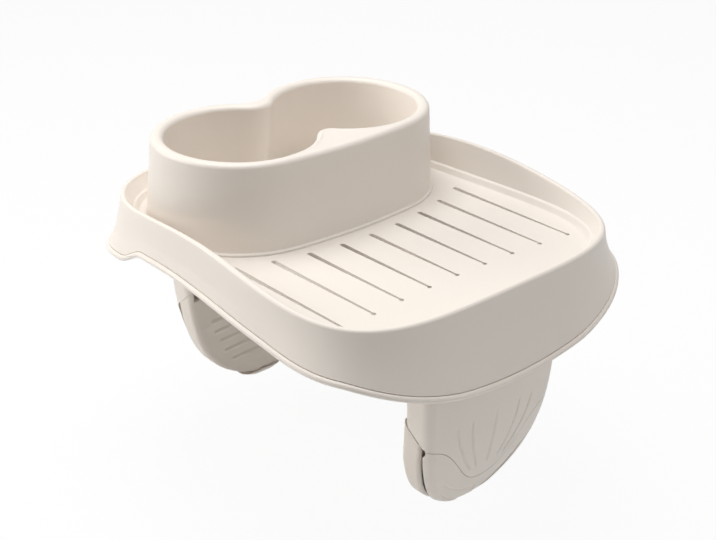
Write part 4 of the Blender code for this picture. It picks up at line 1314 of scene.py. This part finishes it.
class TRAY_OT_screws(bpy.types.Operator):
    """Build the screws that hold the legs and the cup holder"""
    bl_idname = "tray.screws"
    bl_label = "Screws"

    def execute(self, context):
        head_low = DECK_Z - HEAD_TOP - GAP - HEAD_THICKNESS
        length = GAP * 2.0 + HEAD_THICKNESS + SCREW_BITE - SCREW_SHANK
        for side, end in zip((1.0, -1.0), ENDS):
            place_screws("leg_screw_" + end, leg_screw_places(side), head_low - GAP, length)
        length = DECK_THICKNESS + GAP * 2.0 + SCREW_BITE - SCREW_SHANK
        place_screws("cup_holder_screw", cup_screw_places(), DECK_Z - DECK_THICKNESS - GAP, length)
        return {"FINISHED"}


def view_axes(studio):
    """The camera's right, up and backward directions."""
    heading, pitch, roll = studio.heading, studio.pitch, studio.roll
    level = math.cos(pitch)
    ahead = Vector((-math.sin(heading) * level, math.cos(heading) * level, -math.sin(pitch)))
    right = Vector((math.cos(heading), math.sin(heading), 0.0))
    up = right.cross(ahead)
    tilted_right = math.cos(roll) * right + math.sin(roll) * up
    tilted_up = math.cos(roll) * up - math.sin(roll) * right
    return tilted_right, tilted_up, -ahead


def add_camera(studio):
    data = bpy.data.cameras.new("camera")
    data.lens = studio.lens
    data.sensor_width = 36.0
    data.sensor_fit = "HORIZONTAL"
    data.shift_x, data.shift_y = CAMERA_SHIFT
    data.clip_start = 0.01
    data.clip_end = 20.0
    camera = add_object("camera", data)
    right, up, back = view_axes(studio)
    turn = Matrix((right, up, back)).transposed().to_4x4()
    camera.matrix_world = Matrix.Translation(Vector(studio.camera_place)) @ turn
    bpy.context.scene.camera = camera


def add_softbox(name, place, side, energy, colour):
    """A square area light that looks at the origin."""
    data = bpy.data.lights.new(name, "AREA")
    data.size = side
    data.energy = energy
    data.color = colour
    lamp = add_object(name, data)
    lamp.location = place
    lamp.rotation_euler = Vector(place).to_track_quat("Z", "Y").to_euler()


def floor_material(faint):
    """White to the camera, with the shadow kept faint."""
    material = bpy.data.materials.new("studio floor")
    tree = own_tree(material)
    tree.nodes.clear()
    end = add_node(tree, "ShaderNodeOutputMaterial", (500, 0))
    mix = add_node(tree, "ShaderNodeMixShader", (250, 0))
    paint = add_node(tree, "ShaderNodeBsdfDiffuse", (0, -150), {"Color": (0.86, 0.86, 0.86, 1.0)})
    glow = add_node(tree, "ShaderNodeEmission", (0, 50), {"Strength": 1.0})
    path = add_node(tree, "ShaderNodeLightPath", (-500, 200))
    seen = add_node(tree, "ShaderNodeMath", (-300, 250), operation="MAXIMUM")
    clear = add_node(tree, "ShaderNodeMath", (-150, 250), operation="MAXIMUM")
    share = add_node(tree, "ShaderNodeMath", (50, 250), {1: 0.93 if faint else 0.6}, operation="MULTIPLY")
    wire(
        tree,
        (path, "Is Camera Ray", seen, 0), (path, "Is Glossy Ray", seen, 1),
        (seen, "Value", clear, 0), (path, "Is Transmission Ray", clear, 1),
        (clear, "Value", share, 0), (share, "Value", mix, "Fac"),
        (paint, "BSDF", mix, 1), (glow, "Emission", mix, 2), (mix, "Shader", end, "Surface"),
    )
    return material


def set_world(ambient):
    """Even light from all round, and plain white where the camera sees past the floor."""
    world = bpy.data.worlds.new("studio")
    bpy.context.scene.world = world
    tree = own_tree(world)
    tree.nodes.clear()
    end = add_node(tree, "ShaderNodeOutputWorld", (500, 0))
    mix = add_node(tree, "ShaderNodeMixShader", (250, 0))
    values = {"Color": (1.0, 0.985, 0.965, 1.0), "Strength": ambient}
    light = add_node(tree, "ShaderNodeBackground", (0, -100), values)
    white = add_node(tree, "ShaderNodeBackground", (0, 100))
    path = add_node(tree, "ShaderNodeLightPath", (-400, 200))
    seen = add_node(tree, "ShaderNodeMath", (-150, 250), operation="MAXIMUM")
    wire(
        tree,
        (path, "Is Camera Ray", seen, 0), (path, "Is Transmission Ray", seen, 1),
        (seen, "Value", mix, "Fac"), (light, "Background", mix, 1),
        (white, "Background", mix, 2), (mix, "Shader", end, "Surface"),
    )


class TRAY_OT_studio(bpy.types.Operator):
    """Set up the floor, the lights, the world and the camera"""
    bl_idname = "tray.studio"
    bl_label = "Studio"

    def execute(self, context):
        studio = context.scene.tray_studio
        low = CAD_BOX[0][2] - BOOT_TRAVEL - GAP
        corners = ((-1.0, -1.0), (1.0, -1.0), (1.0, 1.0), (-1.0, 1.0))
        points = [(x * FLOOR_HALF, y * FLOOR_HALF, low) for x, y in corners]
        floor = new_object("studio_floor", points, [(0, 1, 2, 3)])
        floor.data.materials.append(floor_material(studio.soft_floor))
        add_softbox("key", (-0.12, -0.05, 1.0), 0.8, studio.key_power, WHITE)
        add_softbox("side", (-0.75, -0.78, 0.45), 0.6, studio.side_power, WARM)
        add_softbox("fill", (0.72, 0.68, 0.40), 0.6, studio.fill_power, WARM)
        set_world(studio.ambient)
        add_camera(studio)
        context.scene.view_settings.view_transform = "Standard"
        return {"FINISHED"}


class TRAY_PT_panel(bpy.types.Panel):
    """Sizes, finishes and buttons for the tray"""
    bl_idname = "TRAY_PT_panel"
    bl_label = "Hot Tub Tray"
    bl_space_type = "VIEW_3D"
    bl_region_type = "UI"
    bl_category = "Hot Tub Tray"

    def draw(self, context):
        for owner, operators in PANEL_ROWS:
            box = self.layout.box()
            group = getattr(context.scene, owner)
            for name in group.__class__.__annotations__:
                box.prop(group, name)
            for operator in operators:
                box.operator(operator)


PANEL_ROWS = (
    ("tray_shape", ("tray.shell",)),
    ("tray_cups", ("tray.cup_holder",)),
    ("tray_legs", ("tray.stems", "tray.boots", "tray.grip_plates")),
    ("tray_finish", ("tray.screws",)),
    ("tray_studio", ("tray.studio",)),
)

SETTINGS = (
    ("tray_shape", TraySettings),
    ("tray_cups", CupHolderSettings),
    ("tray_legs", LegSettings),
    ("tray_finish", FinishSettings),
    ("tray_studio", StudioSettings),
)

OPERATORS = (
    TRAY_OT_shell,
    TRAY_OT_cup_holder,
    TRAY_OT_stems,
    TRAY_OT_boots,
    TRAY_OT_grip_plates,
    TRAY_OT_screws,
    TRAY_OT_studio,
)


def register():
    for name, group in SETTINGS:
        bpy.utils.register_class(group)
        setattr(bpy.types.Scene, name, PointerProperty(type=group))
    for operator in OPERATORS:
        bpy.utils.register_class(operator)
    bpy.utils.register_class(TRAY_PT_panel)


def unregister():
    bpy.utils.unregister_class(TRAY_PT_panel)
    for operator in reversed(OPERATORS):
        bpy.utils.unregister_class(operator)
    for name, group in reversed(SETTINGS):
        delattr(bpy.types.Scene, name)
        bpy.utils.unregister_class(group)


def main():
    register()
    bpy.ops.tray.shell()
    bpy.ops.tray.cup_holder()
    bpy.ops.tray.stems()
    bpy.ops.tray.boots()
    bpy.ops.tray.grip_plates()
    bpy.ops.tray.screws()
    bpy.ops.tray.studio()


if __name__ == "__main__":
    main()
